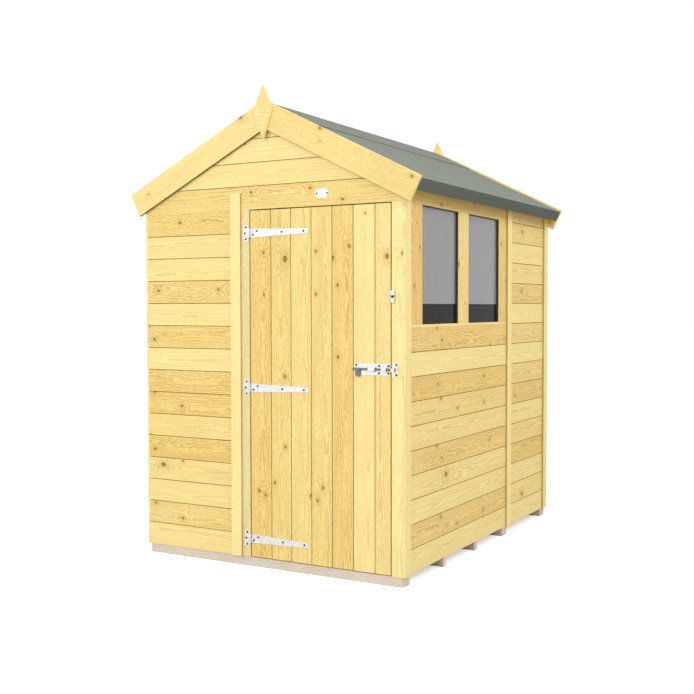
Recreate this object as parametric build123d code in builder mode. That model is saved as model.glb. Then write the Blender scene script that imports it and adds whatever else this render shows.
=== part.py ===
from build123d import *
from math import copysign, cos, radians, sin, tan
import os

# A timber garden shed, 5 by 6 ft class, with an apex roof, one door and two windows.
# The origin is on the ground at the plan centre, +X to the right, +Y into the depth,
# +Z up. The door is in the front wall, at -Y, and the windows are in the right wall.

# Overall sizes
shed_width = 1470.0
shed_depth = 1912.0
eaves_height = 1844.0
roof_pitch = 26.4

# Timber sections
board_pitch = 111.5
groove_width = 5.0
groove_depth = 2.5
cladding_thickness = 12.0
strip_thickness = 12.0
strip_width = 58.0
stud_depth = 28.0
stud_width = 38.0
bearer_height = 45.0
bearer_width = 34.0
double_bearer_width = 68.0
deck_thickness = 12.0

# Floor
bearer_end_setback = 3.0
bearer_face_setback = 6.0
second_bearer_centre = 454.0
third_bearer_centre = 844.0
joint_bearer_centre = 1246.0

# Wall layout, measured from the left end or from the front face
panel_joint = 1282.0
front_strip_left = 532.0
front_strip_overlap = 29.0
front_strip_top_gap = 45.0
side_strip_top_gap = 24.0
door_boards_high = 15
sill_boards_high = 10
sill_thickness = 12.0

# Doorway and door
door_left = 642.0
door_width = 753.0
door_side_gap = 6.0
door_end_gap = 5.0
door_board_thickness = 12.0
door_last_board = 78.0
threshold_height = 27.0
stop_width = 12.0
stop_gap = 5.0
ledge_width = 95.0
ledge_thickness = 20.0
ledge_end_gap = 8.0
brace_width = 70.0
brace_foot_inset = 60.0
hinge_heights = (137.0, 866.0, 1606.0)

# Windows in the front panel of the right wall
first_window_start = 198.0
first_window_end = 605.0
second_window_start = 735.0
second_window_end = 1145.0
glass_thickness = 3.0
glass_lap = 8.0
glass_clearance = 0.3

# Roof
sheathing_thickness = 11.0
felt_thickness = 3.0
eaves_gap = 22.0
eaves_board_depth = 46.0
eaves_board_thickness = 28.0
ridge_cap_half_width = 250.0
purlin_depth = 28.0
purlin_width = 38.0
ridge_purlin_start = 40.0
mid_purlin_start = 430.0
barge_width = 122.0
barge_thickness = 16.0
barge_rise = 9.0
barge_end_lap = 2.0

# Finials
finial_height = 254.0
finial_kite_width = 106.0
finial_thickness = 14.0
finial_rise = 63.0
finial_shoulder_drop = 110.0
finial_shoulder_radius = 62.0

# Tee hinges
hinge_barrel_radius = 5.0
hinge_pin_radius = 2.5
hinge_pin_clearance = 0.1
hinge_leaf_thickness = 2.5
hinge_leaf_clearance = 0.8
hinge_strap_length = 328.0
hinge_strap_root = 43.0
hinge_strap_tip = 22.0
hinge_knuckle_gap = 0.5
hinge_centre_knuckle = 15.0
hinge_plate_height = 85.0
hinge_plate_width = 30.0
hinge_plate_corner = 12.0
hinge_screw_radius = 2.5
hinge_plate_screw_rise = 29.0
hinge_plate_screw_inset = 10.0
hinge_strap_screws = ((13.0, -8.0), (37.0, 9.0), (178.0, 0.0), (298.0, 0.0))

# Pad bolt
bolt_height = 973.0
bolt_plate_length = 180.0
bolt_plate_height = 52.0
bolt_plate_thickness = 2.5
bolt_plate_setback = 2.0
bolt_plate_corner = 8.0
bolt_rod_radius = 5.0
bolt_rod_clearance = 0.6
bolt_guide_wall = 2.5
bolt_guide_foot = 8.0
bolt_guide_corner = 2.5
staple_length = 34.0
staple_from_edge = 107.0
guide_length = 24.0
guide_from_edge = 40.0
bolt_rod_length = 186.0
bolt_tip_gap = 3.0
lug_from_edge = 175.0
lug_width = 25.0
lug_drop = 33.0
lug_corner = 10.0
lug_thickness = 4.0
lug_hole_radius = 5.0
keep_plate_width = 27.0
keep_plate_height = 60.0
keep_plate_gap = 4.0
keep_loop_length = 15.0

# Turn button
button_height = 1299.0
button_from_edge = 8.0
button_length = 57.0
button_width = 17.0
button_thickness = 5.0
button_stand_off = 3.0
button_pivot_radius = 4.0
button_pivot_clearance = 0.1
button_head_radius = 7.0
button_head_thickness = 2.0

# Blank plaque above the door
plaque_centre = 1042.0
plaque_height_centre = 1774.0
plaque_width = 75.0
plaque_height = 48.0
plaque_thickness = 2.0
plaque_corner = 7.0

# Planes of the walls
half_width = shed_width / 2 - strip_thickness
half_depth = shed_depth / 2
inner_half_width = half_width - cladding_thickness
inner_half_depth = half_depth - cladding_thickness
stud_half_width = inner_half_width - stud_depth
stud_half_depth = inner_half_depth - stud_depth
left_end = -shed_width / 2
front_face = -half_depth
wall_base = bearer_height
floor_top = bearer_height + deck_thickness
lintel_height = wall_base + door_boards_high * board_pitch
sill_height = wall_base + sill_boards_high * board_pitch
joint_y = front_face + panel_joint

# Places of the doorway
door_x0 = left_end + door_left
door_x1 = door_x0 + door_width
opening_x0 = door_x0 - door_side_gap
opening_x1 = door_x1 + door_side_gap
door_bottom = wall_base + door_end_gap
door_top = lintel_height - door_end_gap
stop_face = stop_gap - inner_half_depth
hinge_axis_x = door_x0 - door_side_gap / 2
hinge_axis_y = front_face - hinge_barrel_radius

# Roof lines, along and square to the slope
pitch = radians(roof_pitch)
ridge_height = eaves_height + half_width * tan(pitch)
felt_base = sheathing_thickness
felt_top = felt_base + felt_thickness
cap_top = felt_top + felt_thickness
barge_top = felt_top + barge_rise
barge_bottom = barge_top - barge_width
eaves_board_x = shed_width / 2 + eaves_gap
eaves_start = (eaves_board_x + eaves_board_depth * sin(pitch)) / cos(pitch)
roof_slope_length = eaves_start + eaves_board_thickness
felt_end = roof_slope_length + felt_thickness
barge_end = felt_end + barge_end_lap


def facing(y):
    """Plane across the shed at depth y, drawn in X and Z, that extrudes to the front."""
    return Plane(origin=(0, y, 0), x_dir=(1, 0, 0), z_dir=(0, -1, 0))


def beside(x):
    """Plane along the shed at x, drawn in Y and Z, that extrudes to the right."""
    return Plane(origin=(x, 0, 0), x_dir=(0, 1, 0), z_dir=(1, 0, 0))


def bar(start, end, low, high, mode=Mode.ADD):
    """Draw a rectangle from its four edges in the sketch that is open."""
    with Locations(((start + end) / 2, (low + high) / 2)):
        Rectangle(end - start, high - low, mode=mode)


def joint_heights(low, high):
    """Heights of the board joints from one panel's foot to its head."""
    joints = []
    for count in range(1, int((high - wall_base) / board_pitch) + 1):
        joint = wall_base + count * board_pitch
        if joint == high or low <= joint < high - groove_width:
            joints.append(joint)
    return joints


def board_section(face, back, low, high, joints):
    """Outline of tongued boards, square to their run, with a V-groove at each joint."""
    bottom = face + copysign(groove_depth, back - face)
    section = [(back, high), (back, low)]
    if low not in joints:
        section.append((face, low))
    for joint in joints:
        if joint > low:
            section.append((face, joint - groove_width / 2))
        section.append((bottom, joint))
        if joint < high:
            section.append((face, joint + groove_width / 2))
    if high not in joints:
        section.append((face, high))
    return section


def slope_point(side, along, above):
    """Point of the roof's section, along the slope from the ridge and square to it."""
    x = along * cos(pitch) + above * sin(pitch)
    z = ridge_height - along * sin(pitch) + above * cos(pitch)
    return (side * x, z)


def ridge_point(above):
    """Point of a roof line on the ridge's upright centre plane."""
    return (0, ridge_height + above / cos(pitch))


def slope_section(side, low, high, end):
    """Draw one slope's band, plumb at the ridge and square at its lower end."""
    Polygon(
        ridge_point(low),
        slope_point(side, end, low),
        slope_point(side, end, high),
        ridge_point(high),
        align=None,
    )


def batten_section(side, start, width, depth):
    """Draw a batten that hangs square under the roof boards."""
    Polygon(
        slope_point(side, start, 0),
        slope_point(side, start + width, 0),
        slope_point(side, start + width, -depth),
        slope_point(side, start, -depth),
        align=None,
    )


def save(part, name):
    """Label a finished piece and write it to its own file."""
    part.label = name
    export_step(part, f"parts/{name}.step")


os.makedirs("parts", exist_ok=True)

# Bearers, five across the width, the outer two and the one at the joint doubled
outer_bearer_inset = bearer_face_setback + double_bearer_width / 2
bearer_rows = (
    (front_face + outer_bearer_inset, double_bearer_width),
    (front_face + second_bearer_centre, bearer_width),
    (front_face + third_bearer_centre, bearer_width),
    (front_face + joint_bearer_centre, double_bearer_width),
    (half_depth - outer_bearer_inset, double_bearer_width),
)
with BuildPart() as bearers:
    with BuildSketch(Plane.XY):
        for row_centre, row_width in bearer_rows:
            with Locations((0, row_centre)):
                Rectangle(2 * (half_width - bearer_end_setback), row_width)
    extrude(amount=bearer_height)
save(bearers.part, "floor_bearers")

# Floor deck, set back behind the door leaf
with BuildPart() as floor_deck:
    with BuildSketch(Plane.XY.offset(bearer_height)):
        bar(-inner_half_width, inner_half_width, stop_face, inner_half_depth)
    extrude(amount=deck_thickness)
save(floor_deck.part, "floor_deck")

# Front wall: cladding to the left of the door, two plain jamb boards, and the gable
strip_joint = left_end + front_strip_left + front_strip_overlap
wall_joints = joint_heights(wall_base, lintel_height)
with BuildPart() as front_wall:
    with BuildSketch(beside(-half_width)):
        with BuildLine():
            Polyline(
                board_section(
                    front_face, -inner_half_depth, wall_base, lintel_height, wall_joints
                ),
                close=True,
            )
        make_face()
    extrude(amount=strip_joint + half_width)
save(front_wall.part, "front_wall_left")

with BuildPart() as door_jambs:
    with BuildSketch(facing(-inner_half_depth)):
        bar(strip_joint, opening_x0, wall_base, lintel_height)
        bar(opening_x1, half_width, wall_base, lintel_height)
    extrude(amount=cladding_thickness)
save(door_jambs.part, "door_jambs")

# Gables, boards that run across and are cut to the roof's slopes
gable_joints = joint_heights(lintel_height, ridge_height)
gable_walls = (
    ("front", front_face, -inner_half_depth),
    ("rear", half_depth, inner_half_depth),
)
for gable_name, gable_face, gable_back in gable_walls:
    with BuildPart() as gable:
        with BuildSketch(beside(-half_width)):
            with BuildLine():
                Polyline(
                    board_section(
                        gable_face, gable_back, lintel_height, ridge_height, gable_joints
                    ),
                    close=True,
                )
            make_face()
        extrude(amount=2 * half_width)
        with BuildSketch(facing(max(gable_face, gable_back))):
            with BuildLine():
                Polyline(
                    (-half_width, lintel_height),
                    (half_width, lintel_height),
                    (half_width, eaves_height),
                    (0, ridge_height),
                    (-half_width, eaves_height),
                    close=True,
                )
            make_face()
        extrude(amount=cladding_thickness, mode=Mode.INTERSECT)
    save(gable.part, f"gable_{gable_name}")

# Rear wall
with BuildPart() as rear_wall:
    with BuildSketch(beside(-half_width)):
        with BuildLine():
            Polyline(
                board_section(half_depth, inner_half_depth, wall_base, lintel_height, wall_joints),
                close=True,
            )
        make_face()
    extrude(amount=2 * half_width)
save(rear_wall.part, "rear_wall")

# Left wall, in two panels that meet behind the middle strip
side_joints = joint_heights(wall_base, eaves_height)
left_panels = (
    ("front", -inner_half_depth, joint_y),
    ("rear", joint_y, inner_half_depth),
)
for panel_name, panel_start, panel_end in left_panels:
    with BuildPart() as left_wall:
        with BuildSketch(facing(panel_end)):
            with BuildLine():
                Polyline(
                    board_section(
                        -half_width, -inner_half_width, wall_base, eaves_height, side_joints
                    ),
                    close=True,
                )
            make_face()
        extrude(amount=panel_end - panel_start)
    save(left_wall.part, f"left_wall_{panel_name}")

# Right wall: boards under the windows, posts beside them, a head over them
right_panels = (
    ("lower", -inner_half_depth, joint_y, sill_height),
    ("rear", joint_y, inner_half_depth, eaves_height),
)
for panel_name, panel_start, panel_end, panel_top in right_panels:
    with BuildPart() as right_wall:
        with BuildSketch(facing(panel_end)):
            with BuildLine():
                Polyline(
                    board_section(
                        half_width,
                        inner_half_width,
                        wall_base,
                        panel_top,
                        joint_heights(wall_base, panel_top),
                    ),
                    close=True,
                )
            make_face()
        extrude(amount=panel_end - panel_start)
    save(right_wall.part, f"right_wall_{panel_name}")

window_spans = (
    (front_face + first_window_start, front_face + first_window_end),
    (front_face + second_window_start, front_face + second_window_end),
)
post_spans = (
    (-inner_half_depth, window_spans[0][0]),
    (window_spans[0][1], window_spans[1][0]),
    (window_spans[1][1], joint_y),
)
sill_top = sill_height + sill_thickness
with BuildPart() as window_posts:
    with BuildSketch(beside(inner_half_width)):
        for post_start, post_end in post_spans:
            bar(post_start, post_end, sill_top, lintel_height)
    extrude(amount=cladding_thickness)
save(window_posts.part, "window_posts")

with BuildPart() as window_sill:
    with BuildSketch(beside(inner_half_width)):
        bar(-inner_half_depth, joint_y, sill_height, sill_top)
    extrude(amount=cladding_thickness)
save(window_sill.part, "window_sill")

with BuildPart() as window_head:
    with BuildSketch(beside(inner_half_width)):
        bar(-inner_half_depth, joint_y, lintel_height, eaves_height)
    extrude(amount=cladding_thickness)
save(window_head.part, "window_head")

# Window panes, lapped behind the cladding
pane_low = sill_top - glass_lap
pane_high = lintel_height + glass_lap
with BuildPart() as panes:
    with BuildSketch(beside(inner_half_width - glass_thickness)):
        for pane_start, pane_end in window_spans:
            bar(pane_start - glass_lap, pane_end + glass_lap, pane_low, pane_high)
    extrude(amount=glass_thickness)
save(panes.part, "window_panes")

# Cover strips over the joints and corners
strip_x0 = left_end + front_strip_left
with BuildPart() as front_strip:
    with BuildSketch(facing(front_face)):
        bar(strip_x0, strip_x0 + strip_width, wall_base, eaves_height - front_strip_top_gap)
    extrude(amount=strip_thickness)
save(front_strip.part, "cover_strip_front")

side_strip_spans = (
    (front_face, front_face + strip_width),
    (joint_y - strip_width / 2, joint_y + strip_width / 2),
    (half_depth - strip_width, half_depth),
)
for side_name, strip_plane in (("left", left_end), ("right", half_width)):
    with BuildPart() as side_strips:
        with BuildSketch(beside(strip_plane)):
            for strip_start, strip_end in side_strip_spans:
                bar(strip_start, strip_end, wall_base, eaves_height - side_strip_top_gap)
        extrude(amount=strip_thickness)
    save(side_strips.part, f"cover_strips_{side_name}")

# Wall framing: rails lie along the floor and the wall heads, studs stand between them
rail_top = floor_top + stud_width
head_base = eaves_height - stud_width
lintel_top = lintel_height + stud_width
front_stud_spans = (
    (-inner_half_width, stud_width - inner_half_width),
    (strip_x0 - stud_width, strip_x0),
    (opening_x0 - stud_width, opening_x0),
    (opening_x1, inner_half_width),
)
with BuildPart() as front_studs:
    with BuildSketch(facing(-stud_half_depth)):
        for stud_start, stud_end in front_stud_spans:
            bar(stud_start, stud_end, rail_top, lintel_height)
    extrude(amount=stud_depth)
save(front_studs.part, "front_studs")

with BuildPart() as front_rails:
    with BuildSketch(facing(-stud_half_depth)):
        bar(-inner_half_width, opening_x0, floor_top, rail_top)
        bar(opening_x1, inner_half_width, floor_top, rail_top)
        bar(-inner_half_width, inner_half_width, lintel_height, lintel_top)
    extrude(amount=stud_depth)
save(front_rails.part, "front_rails")

with BuildPart() as threshold:
    with BuildSketch(facing(-stud_half_depth)):
        bar(opening_x0, opening_x1, floor_top, floor_top + threshold_height)
    extrude(amount=stud_depth - stop_gap)
save(threshold.part, "door_threshold")

stop_foot = floor_top + threshold_height
with BuildPart() as door_stops:
    with BuildSketch(facing(-stud_half_depth)):
        bar(opening_x0, opening_x0 + stop_width, stop_foot, lintel_height)
        bar(opening_x1 - stop_width, opening_x1, stop_foot, lintel_height)
    extrude(amount=stud_depth - stop_gap)
save(door_stops.part, "door_stops")

rear_stud_spans = (
    (-inner_half_width, stud_width - inner_half_width),
    (-stud_width / 2, stud_width / 2),
    (inner_half_width - stud_width, inner_half_width),
)
with BuildPart() as rear_studs:
    with BuildSketch(facing(inner_half_depth)):
        for stud_start, stud_end in rear_stud_spans:
            bar(stud_start, stud_end, rail_top, lintel_height)
    extrude(amount=stud_depth)
save(rear_studs.part, "rear_studs")

with BuildPart() as rear_rails:
    with BuildSketch(facing(inner_half_depth)):
        bar(-inner_half_width, inner_half_width, floor_top, rail_top)
        bar(-inner_half_width, inner_half_width, lintel_height, lintel_top)
    extrude(amount=stud_depth)
save(rear_rails.part, "rear_rails")

# Side framing, with the right wall's studs clear of the glass
glass_margin = glass_lap + glass_clearance
left_stud_spans = (
    (-stud_half_depth, stud_width - stud_half_depth),
    (joint_y - 2 * stud_width, joint_y - stud_width),
    (joint_y, joint_y + stud_width),
    (stud_half_depth - stud_width, stud_half_depth),
)
right_stud_spans = (
    (-stud_half_depth, stud_width - stud_half_depth),
    (window_spans[0][0] - glass_margin - stud_width, window_spans[0][0] - glass_margin),
    (window_spans[0][1] + glass_margin, window_spans[1][0] - glass_margin),
    (window_spans[1][1] + glass_margin, window_spans[1][1] + glass_margin + stud_width),
    (joint_y, joint_y + stud_width),
    (stud_half_depth - stud_width, stud_half_depth),
)
side_framing = (
    ("left", -inner_half_width, left_stud_spans),
    ("right", stud_half_width, right_stud_spans),
)
for side_name, frame_plane, stud_spans in side_framing:
    with BuildPart() as side_studs:
        with BuildSketch(beside(frame_plane)):
            for stud_start, stud_end in stud_spans:
                bar(stud_start, stud_end, rail_top, head_base)
        extrude(amount=stud_depth)
    save(side_studs.part, f"{side_name}_studs")

with BuildPart() as side_rails:
    for frame_plane in (-inner_half_width, stud_half_width):
        with BuildSketch(beside(frame_plane)):
            bar(-stud_half_depth, stud_half_depth, floor_top, rail_top)
            bar(-stud_half_depth, stud_half_depth, head_base, eaves_height)
        extrude(amount=stud_depth)
save(side_rails.part, "side_rails")

# Window rails between the studs, under the sill and over the head
rail_y0 = right_stud_spans[1][1]
rail_y1 = right_stud_spans[2][0]
rail_y2 = right_stud_spans[2][1]
rail_y3 = right_stud_spans[3][0]
sill_rail_top = sill_top - glass_margin
head_rail_base = lintel_height + glass_margin
with BuildPart() as window_rails:
    with BuildSketch(beside(stud_half_width)):
        for rail_start, rail_end in ((rail_y0, rail_y1), (rail_y2, rail_y3)):
            bar(rail_start, rail_end, sill_rail_top - stud_width, sill_rail_top)
            bar(rail_start, rail_end, head_rail_base, head_rail_base + stud_width)
    extrude(amount=stud_depth)
save(window_rails.part, "window_rails")

# Roof: boards, felt folded over the eaves, a ridge cap and battens underneath
sides = (("left", -1), ("right", 1))
for side_name, side in sides:
    with BuildPart() as sheathing:
        with BuildSketch(facing(half_depth)):
            slope_section(side, 0, felt_base, roof_slope_length)
        extrude(amount=shed_depth)
    save(sheathing.part, f"roof_boards_{side_name}")

    with BuildPart() as felt:
        with BuildSketch(facing(half_depth)):
            with BuildLine():
                Polyline(
                    ridge_point(felt_base),
                    slope_point(side, roof_slope_length, felt_base),
                    slope_point(side, roof_slope_length, -eaves_board_depth),
                    slope_point(side, felt_end, -eaves_board_depth),
                    slope_point(side, felt_end, felt_top),
                    ridge_point(felt_top),
                    close=True,
                )
            make_face()
        extrude(amount=shed_depth)
    save(felt.part, f"roof_felt_{side_name}")

with BuildPart() as eaves_boards:
    with BuildSketch(facing(half_depth)):
        for side in (-1, 1):
            batten_section(side, eaves_start, eaves_board_thickness, eaves_board_depth)
    extrude(amount=shed_depth)
save(eaves_boards.part, "eaves_boards")

with BuildPart() as purlins:
    with BuildSketch(facing(stud_half_depth)):
        for side in (-1, 1):
            for purlin_start in (ridge_purlin_start, mid_purlin_start):
                batten_section(side, purlin_start, purlin_width, purlin_depth)
    extrude(amount=2 * stud_half_depth)
save(purlins.part, "roof_purlins")

with BuildPart() as ridge_cap:
    with BuildSketch(facing(half_depth)):
        with BuildLine():
            Polyline(
                ridge_point(felt_top),
                slope_point(1, ridge_cap_half_width, felt_top),
                slope_point(1, ridge_cap_half_width, cap_top),
                ridge_point(cap_top),
                slope_point(-1, ridge_cap_half_width, cap_top),
                slope_point(-1, ridge_cap_half_width, felt_top),
                close=True,
            )
        make_face()
    extrude(amount=shed_depth)
save(ridge_cap.part, "roof_ridge_cap")

# Gable rafters, a pair joined at the apex behind each gable
rafter_end = inner_half_width / cos(pitch)
with BuildPart() as rafters:
    for rafter_back in (-stud_half_depth, inner_half_depth):
        with BuildSketch(facing(rafter_back)):
            with BuildLine():
                Polyline(
                    ridge_point(0),
                    slope_point(1, rafter_end, 0),
                    slope_point(1, rafter_end, -stud_width),
                    ridge_point(-stud_width),
                    slope_point(-1, rafter_end, -stud_width),
                    slope_point(-1, rafter_end, 0),
                    close=True,
                )
            make_face()
        extrude(amount=stud_depth)
save(rafters.part, "gable_rafters")

# Barge boards, square at the eaves and plumb at the peak
gable_ends = (("front", front_face), ("rear", half_depth + barge_thickness))
for gable_name, barge_back in gable_ends:
    for side_name, side in sides:
        with BuildPart() as barge:
            with BuildSketch(facing(barge_back)):
                slope_section(side, barge_bottom, barge_top, barge_end)
            extrude(amount=barge_thickness)
        save(barge.part, f"barge_{gable_name}_{side_name}")

# Finials, kites with rounded shoulders over the barge boards' joint
finial_top = ridge_height + barge_top / cos(pitch) + finial_rise
finial_shoulder = finial_top - finial_shoulder_drop
finial_foot = finial_top - finial_height
finial_ends = (
    ("front", front_face - barge_thickness),
    ("rear", half_depth + barge_thickness + finial_thickness),
)
for gable_name, finial_back in finial_ends:
    with BuildPart() as finial:
        with BuildSketch(facing(finial_back)):
            with BuildLine():
                Polyline(
                    (0, finial_top),
                    (finial_kite_width / 2, finial_shoulder),
                    (0, finial_foot),
                    (-finial_kite_width / 2, finial_shoulder),
                    close=True,
                )
            make_face()
            fillet(vertices().sort_by(Axis.Y)[1:3], finial_shoulder_radius)
        extrude(amount=finial_thickness)
    save(finial.part, f"finial_{gable_name}")

# Door leaf: boards in front, three ledges and two braces behind
door_back = front_face + door_board_thickness
door_joints = []
door_joint = door_x1 - door_last_board
while door_joint - board_pitch / 2 > door_x0:
    door_joints.insert(0, door_joint)
    door_joint -= board_pitch
door_section = board_section(front_face, door_back, door_x0, door_x1, door_joints)
with BuildPart() as door_boards:
    with BuildSketch(Plane.XY.offset(door_bottom)):
        with BuildLine():
            Polyline([(along, across) for across, along in door_section], close=True)
        make_face()
    extrude(amount=door_top - door_bottom)
save(door_boards.part, "door_boards")

ledge_x0 = opening_x0 + stop_width + ledge_end_gap
ledge_x1 = opening_x1 - stop_width - ledge_end_gap
with BuildPart() as ledges:
    with BuildSketch(facing(door_back + ledge_thickness)):
        for ledge_centre in hinge_heights:
            bar(ledge_x0, ledge_x1, ledge_centre - ledge_width / 2, ledge_centre + ledge_width / 2)
    extrude(amount=ledge_thickness)
save(ledges.part, "door_ledges")

brace_x0 = ledge_x0 + brace_foot_inset
brace_x1 = ledge_x1 - brace_foot_inset
with BuildPart() as braces:
    with BuildSketch(facing(door_back + ledge_thickness)):
        for low_ledge, high_ledge in zip(hinge_heights, hinge_heights[1:]):
            brace_low = low_ledge + ledge_width / 2
            brace_high = high_ledge - ledge_width / 2
            with BuildLine():
                Polyline(
                    (brace_x0, brace_low),
                    (brace_x0 + brace_width, brace_low),
                    (brace_x1, brace_high),
                    (brace_x1 - brace_width, brace_high),
                    close=True,
                )
            make_face()
    extrude(amount=ledge_thickness)
save(braces.part, "door_braces")

# Tee hinges: a plate with two knuckles and a pin on the jamb, a strap on the door
barrel_clear = hinge_barrel_radius + hinge_leaf_clearance
knuckle_half = hinge_centre_knuckle / 2
outer_knuckle = hinge_knuckle_gap + knuckle_half
root_half = hinge_strap_root / 2
plate_right = hinge_axis_x - barrel_clear
plate_centre = plate_right - hinge_plate_width / 2
plate_screws = (
    (plate_centre, hinge_plate_screw_rise),
    (plate_centre, -hinge_plate_screw_rise),
    (plate_right - hinge_plate_width + hinge_plate_screw_inset, 0),
)
with BuildPart() as hinge_plates:
    for hinge_z in hinge_heights:
        with BuildSketch(facing(front_face)):
            with Locations((plate_centre, hinge_z)):
                RectangleRounded(hinge_plate_width, hinge_plate_height, hinge_plate_corner)
            bar(plate_centre, hinge_axis_x, hinge_z + outer_knuckle, hinge_z + root_half)
            bar(plate_centre, hinge_axis_x, hinge_z - root_half, hinge_z - outer_knuckle)
            for screw_x, screw_rise in plate_screws:
                with Locations((screw_x, hinge_z + screw_rise)):
                    Circle(hinge_screw_radius, mode=Mode.SUBTRACT)
        extrude(amount=hinge_leaf_thickness)
        for knuckle_base in (hinge_z + outer_knuckle, hinge_z - root_half):
            with BuildSketch(Plane.XY.offset(knuckle_base)):
                with Locations((hinge_axis_x, hinge_axis_y)):
                    Circle(hinge_barrel_radius)
            extrude(amount=root_half - outer_knuckle)
        with BuildSketch(Plane.XY.offset(hinge_z - root_half)):
            with Locations((hinge_axis_x, hinge_axis_y)):
                Circle(hinge_pin_radius)
        extrude(amount=hinge_strap_root)
save(hinge_plates.part, "hinge_plates")

with BuildPart() as hinge_straps:
    for hinge_z in hinge_heights:
        strap_start = hinge_axis_x + barrel_clear
        strap_end = door_x0 + hinge_strap_length
        tip_half = hinge_strap_tip / 2
        with BuildSketch(facing(front_face)):
            with BuildLine():
                Polyline(
                    (strap_end - tip_half, hinge_z + tip_half),
                    (strap_start, hinge_z + root_half),
                    (strap_start, hinge_z - root_half),
                    (strap_end - tip_half, hinge_z - tip_half),
                )
                ThreePointArc(
                    (strap_end - tip_half, hinge_z - tip_half),
                    (strap_end, hinge_z),
                    (strap_end - tip_half, hinge_z + tip_half),
                )
            make_face()
            bar(hinge_axis_x, strap_start, hinge_z - knuckle_half, hinge_z + knuckle_half)
            for screw_along, screw_rise in hinge_strap_screws:
                with Locations((strap_start + screw_along, hinge_z + screw_rise)):
                    Circle(hinge_screw_radius, mode=Mode.SUBTRACT)
        extrude(amount=hinge_leaf_thickness)
        with BuildSketch(Plane.XY.offset(hinge_z - knuckle_half)):
            with Locations((hinge_axis_x, hinge_axis_y)):
                Circle(hinge_barrel_radius)
        extrude(amount=hinge_centre_knuckle)
        with BuildSketch(Plane.XY.offset(hinge_z - knuckle_half)):
            with Locations((hinge_axis_x, hinge_axis_y)):
                Circle(hinge_pin_radius + hinge_pin_clearance)
        extrude(amount=hinge_centre_knuckle, mode=Mode.SUBTRACT)
save(hinge_straps.part, "hinge_straps")

# Pad bolt: a plate with two straps on the door, a rod that slides, a keep on the jamb
bolt_plate_x1 = door_x1 - bolt_plate_setback
bolt_plate_x0 = bolt_plate_x1 - bolt_plate_length
passage = bolt_rod_radius + bolt_rod_clearance
strap_half = passage + bolt_guide_wall
plate_face = front_face - bolt_plate_thickness
bolt_axis_y = plate_face - passage
strap_front = bolt_axis_y - strap_half


def strap_profile(strap_foot):
    """Draw a bent strap with a square passage and two feet, seen along the rod."""
    bar(plate_face - bolt_guide_wall, plate_face, bolt_height - strap_foot, bolt_height + strap_foot)
    bar(strap_front, plate_face, bolt_height - strap_half, bolt_height + strap_half)
    fillet(vertices().group_by(Axis.X)[0], bolt_guide_corner)
    bar(bolt_axis_y - passage, plate_face, bolt_height - passage, bolt_height + passage, Mode.SUBTRACT)


strap_spans = (
    (door_x1 - staple_from_edge, staple_length),
    (door_x1 - guide_from_edge, guide_length),
)
with BuildPart() as bolt_base:
    with BuildSketch(facing(front_face)):
        with Locations(((bolt_plate_x0 + bolt_plate_x1) / 2, bolt_height)):
            RectangleRounded(bolt_plate_length, bolt_plate_height, bolt_plate_corner)
    extrude(amount=bolt_plate_thickness)
    for strap_x, strap_length in strap_spans:
        with BuildSketch(beside(strap_x)):
            strap_profile(strap_half + bolt_guide_foot)
        extrude(amount=strap_length)
save(bolt_base.part, "bolt_base")

# The rod carries a lug with a padlock hole, turned down to the left of the straps
rod_x0 = door_x1 - bolt_tip_gap - bolt_rod_length
lug_x0 = door_x1 - lug_from_edge
lug_back = bolt_axis_y + lug_thickness / 2
with BuildPart() as bolt_rod:
    with BuildSketch(beside(rod_x0)):
        with Locations((bolt_axis_y, bolt_height)):
            Circle(bolt_rod_radius)
    extrude(amount=bolt_rod_length)
    with BuildSketch(facing(lug_back)):
        bar(lug_x0, lug_x0 + lug_width, bolt_height - lug_drop, bolt_height)
        fillet(vertices().group_by(Axis.Y)[0], lug_corner)
        with Locations((lug_x0 + lug_width / 2, bolt_height - lug_drop + lug_width / 2)):
            Circle(lug_hole_radius, mode=Mode.SUBTRACT)
    extrude(amount=lug_thickness)
save(bolt_rod.part, "bolt_rod")

keep_x0 = opening_x1 + keep_plate_gap
with BuildPart() as bolt_keep:
    with BuildSketch(facing(front_face)):
        with Locations((keep_x0 + keep_plate_width / 2, bolt_height)):
            RectangleRounded(keep_plate_width, keep_plate_height, bolt_plate_corner)
    extrude(amount=bolt_plate_thickness)
    with BuildSketch(beside(keep_x0)):
        strap_profile(strap_half + bolt_guide_foot)
    extrude(amount=keep_loop_length)
save(bolt_keep.part, "bolt_keep")

# Turn button on the right jamb, upright when the door is free, and its pivot screw
button_x = opening_x1 + button_from_edge
button_back = front_face - button_stand_off
with BuildPart() as turn_button:
    with BuildSketch(facing(button_back)):
        with Locations((button_x, button_height)):
            SlotCenterToCenter(button_length - button_width, button_width, rotation=90)
            Circle(button_pivot_radius + button_pivot_clearance, mode=Mode.SUBTRACT)
    extrude(amount=button_thickness)
save(turn_button.part, "turn_button")

with BuildPart() as button_pivot:
    with BuildSketch(facing(front_face)):
        with Locations((button_x, button_height)):
            Circle(button_pivot_radius)
    extrude(amount=button_stand_off + button_thickness)
    with BuildSketch(facing(button_back - button_thickness)):
        with Locations((button_x, button_height)):
            Circle(button_head_radius)
    extrude(amount=button_head_thickness)
save(button_pivot.part, "button_pivot")

# Blank plaque over the door, with clipped corners
with BuildPart() as plaque:
    with BuildSketch(facing(front_face)):
        with Locations((left_end + plaque_centre, plaque_height_centre)):
            Rectangle(plaque_width, plaque_height)
        chamfer(vertices(), plaque_corner)
    extrude(amount=plaque_thickness)
save(plaque.part, "plaque")
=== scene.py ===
"""Looks of a timber garden shed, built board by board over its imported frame.

Every board is a mesh of its own section, and carries where it was cut from its log, how
pale it is and where its knots lie, so one pine finish draws the grain of them all.
"""

import logging
import math
import random
from collections.abc import Iterable, Sequence
from dataclasses import dataclass, field
from enum import Enum

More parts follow.
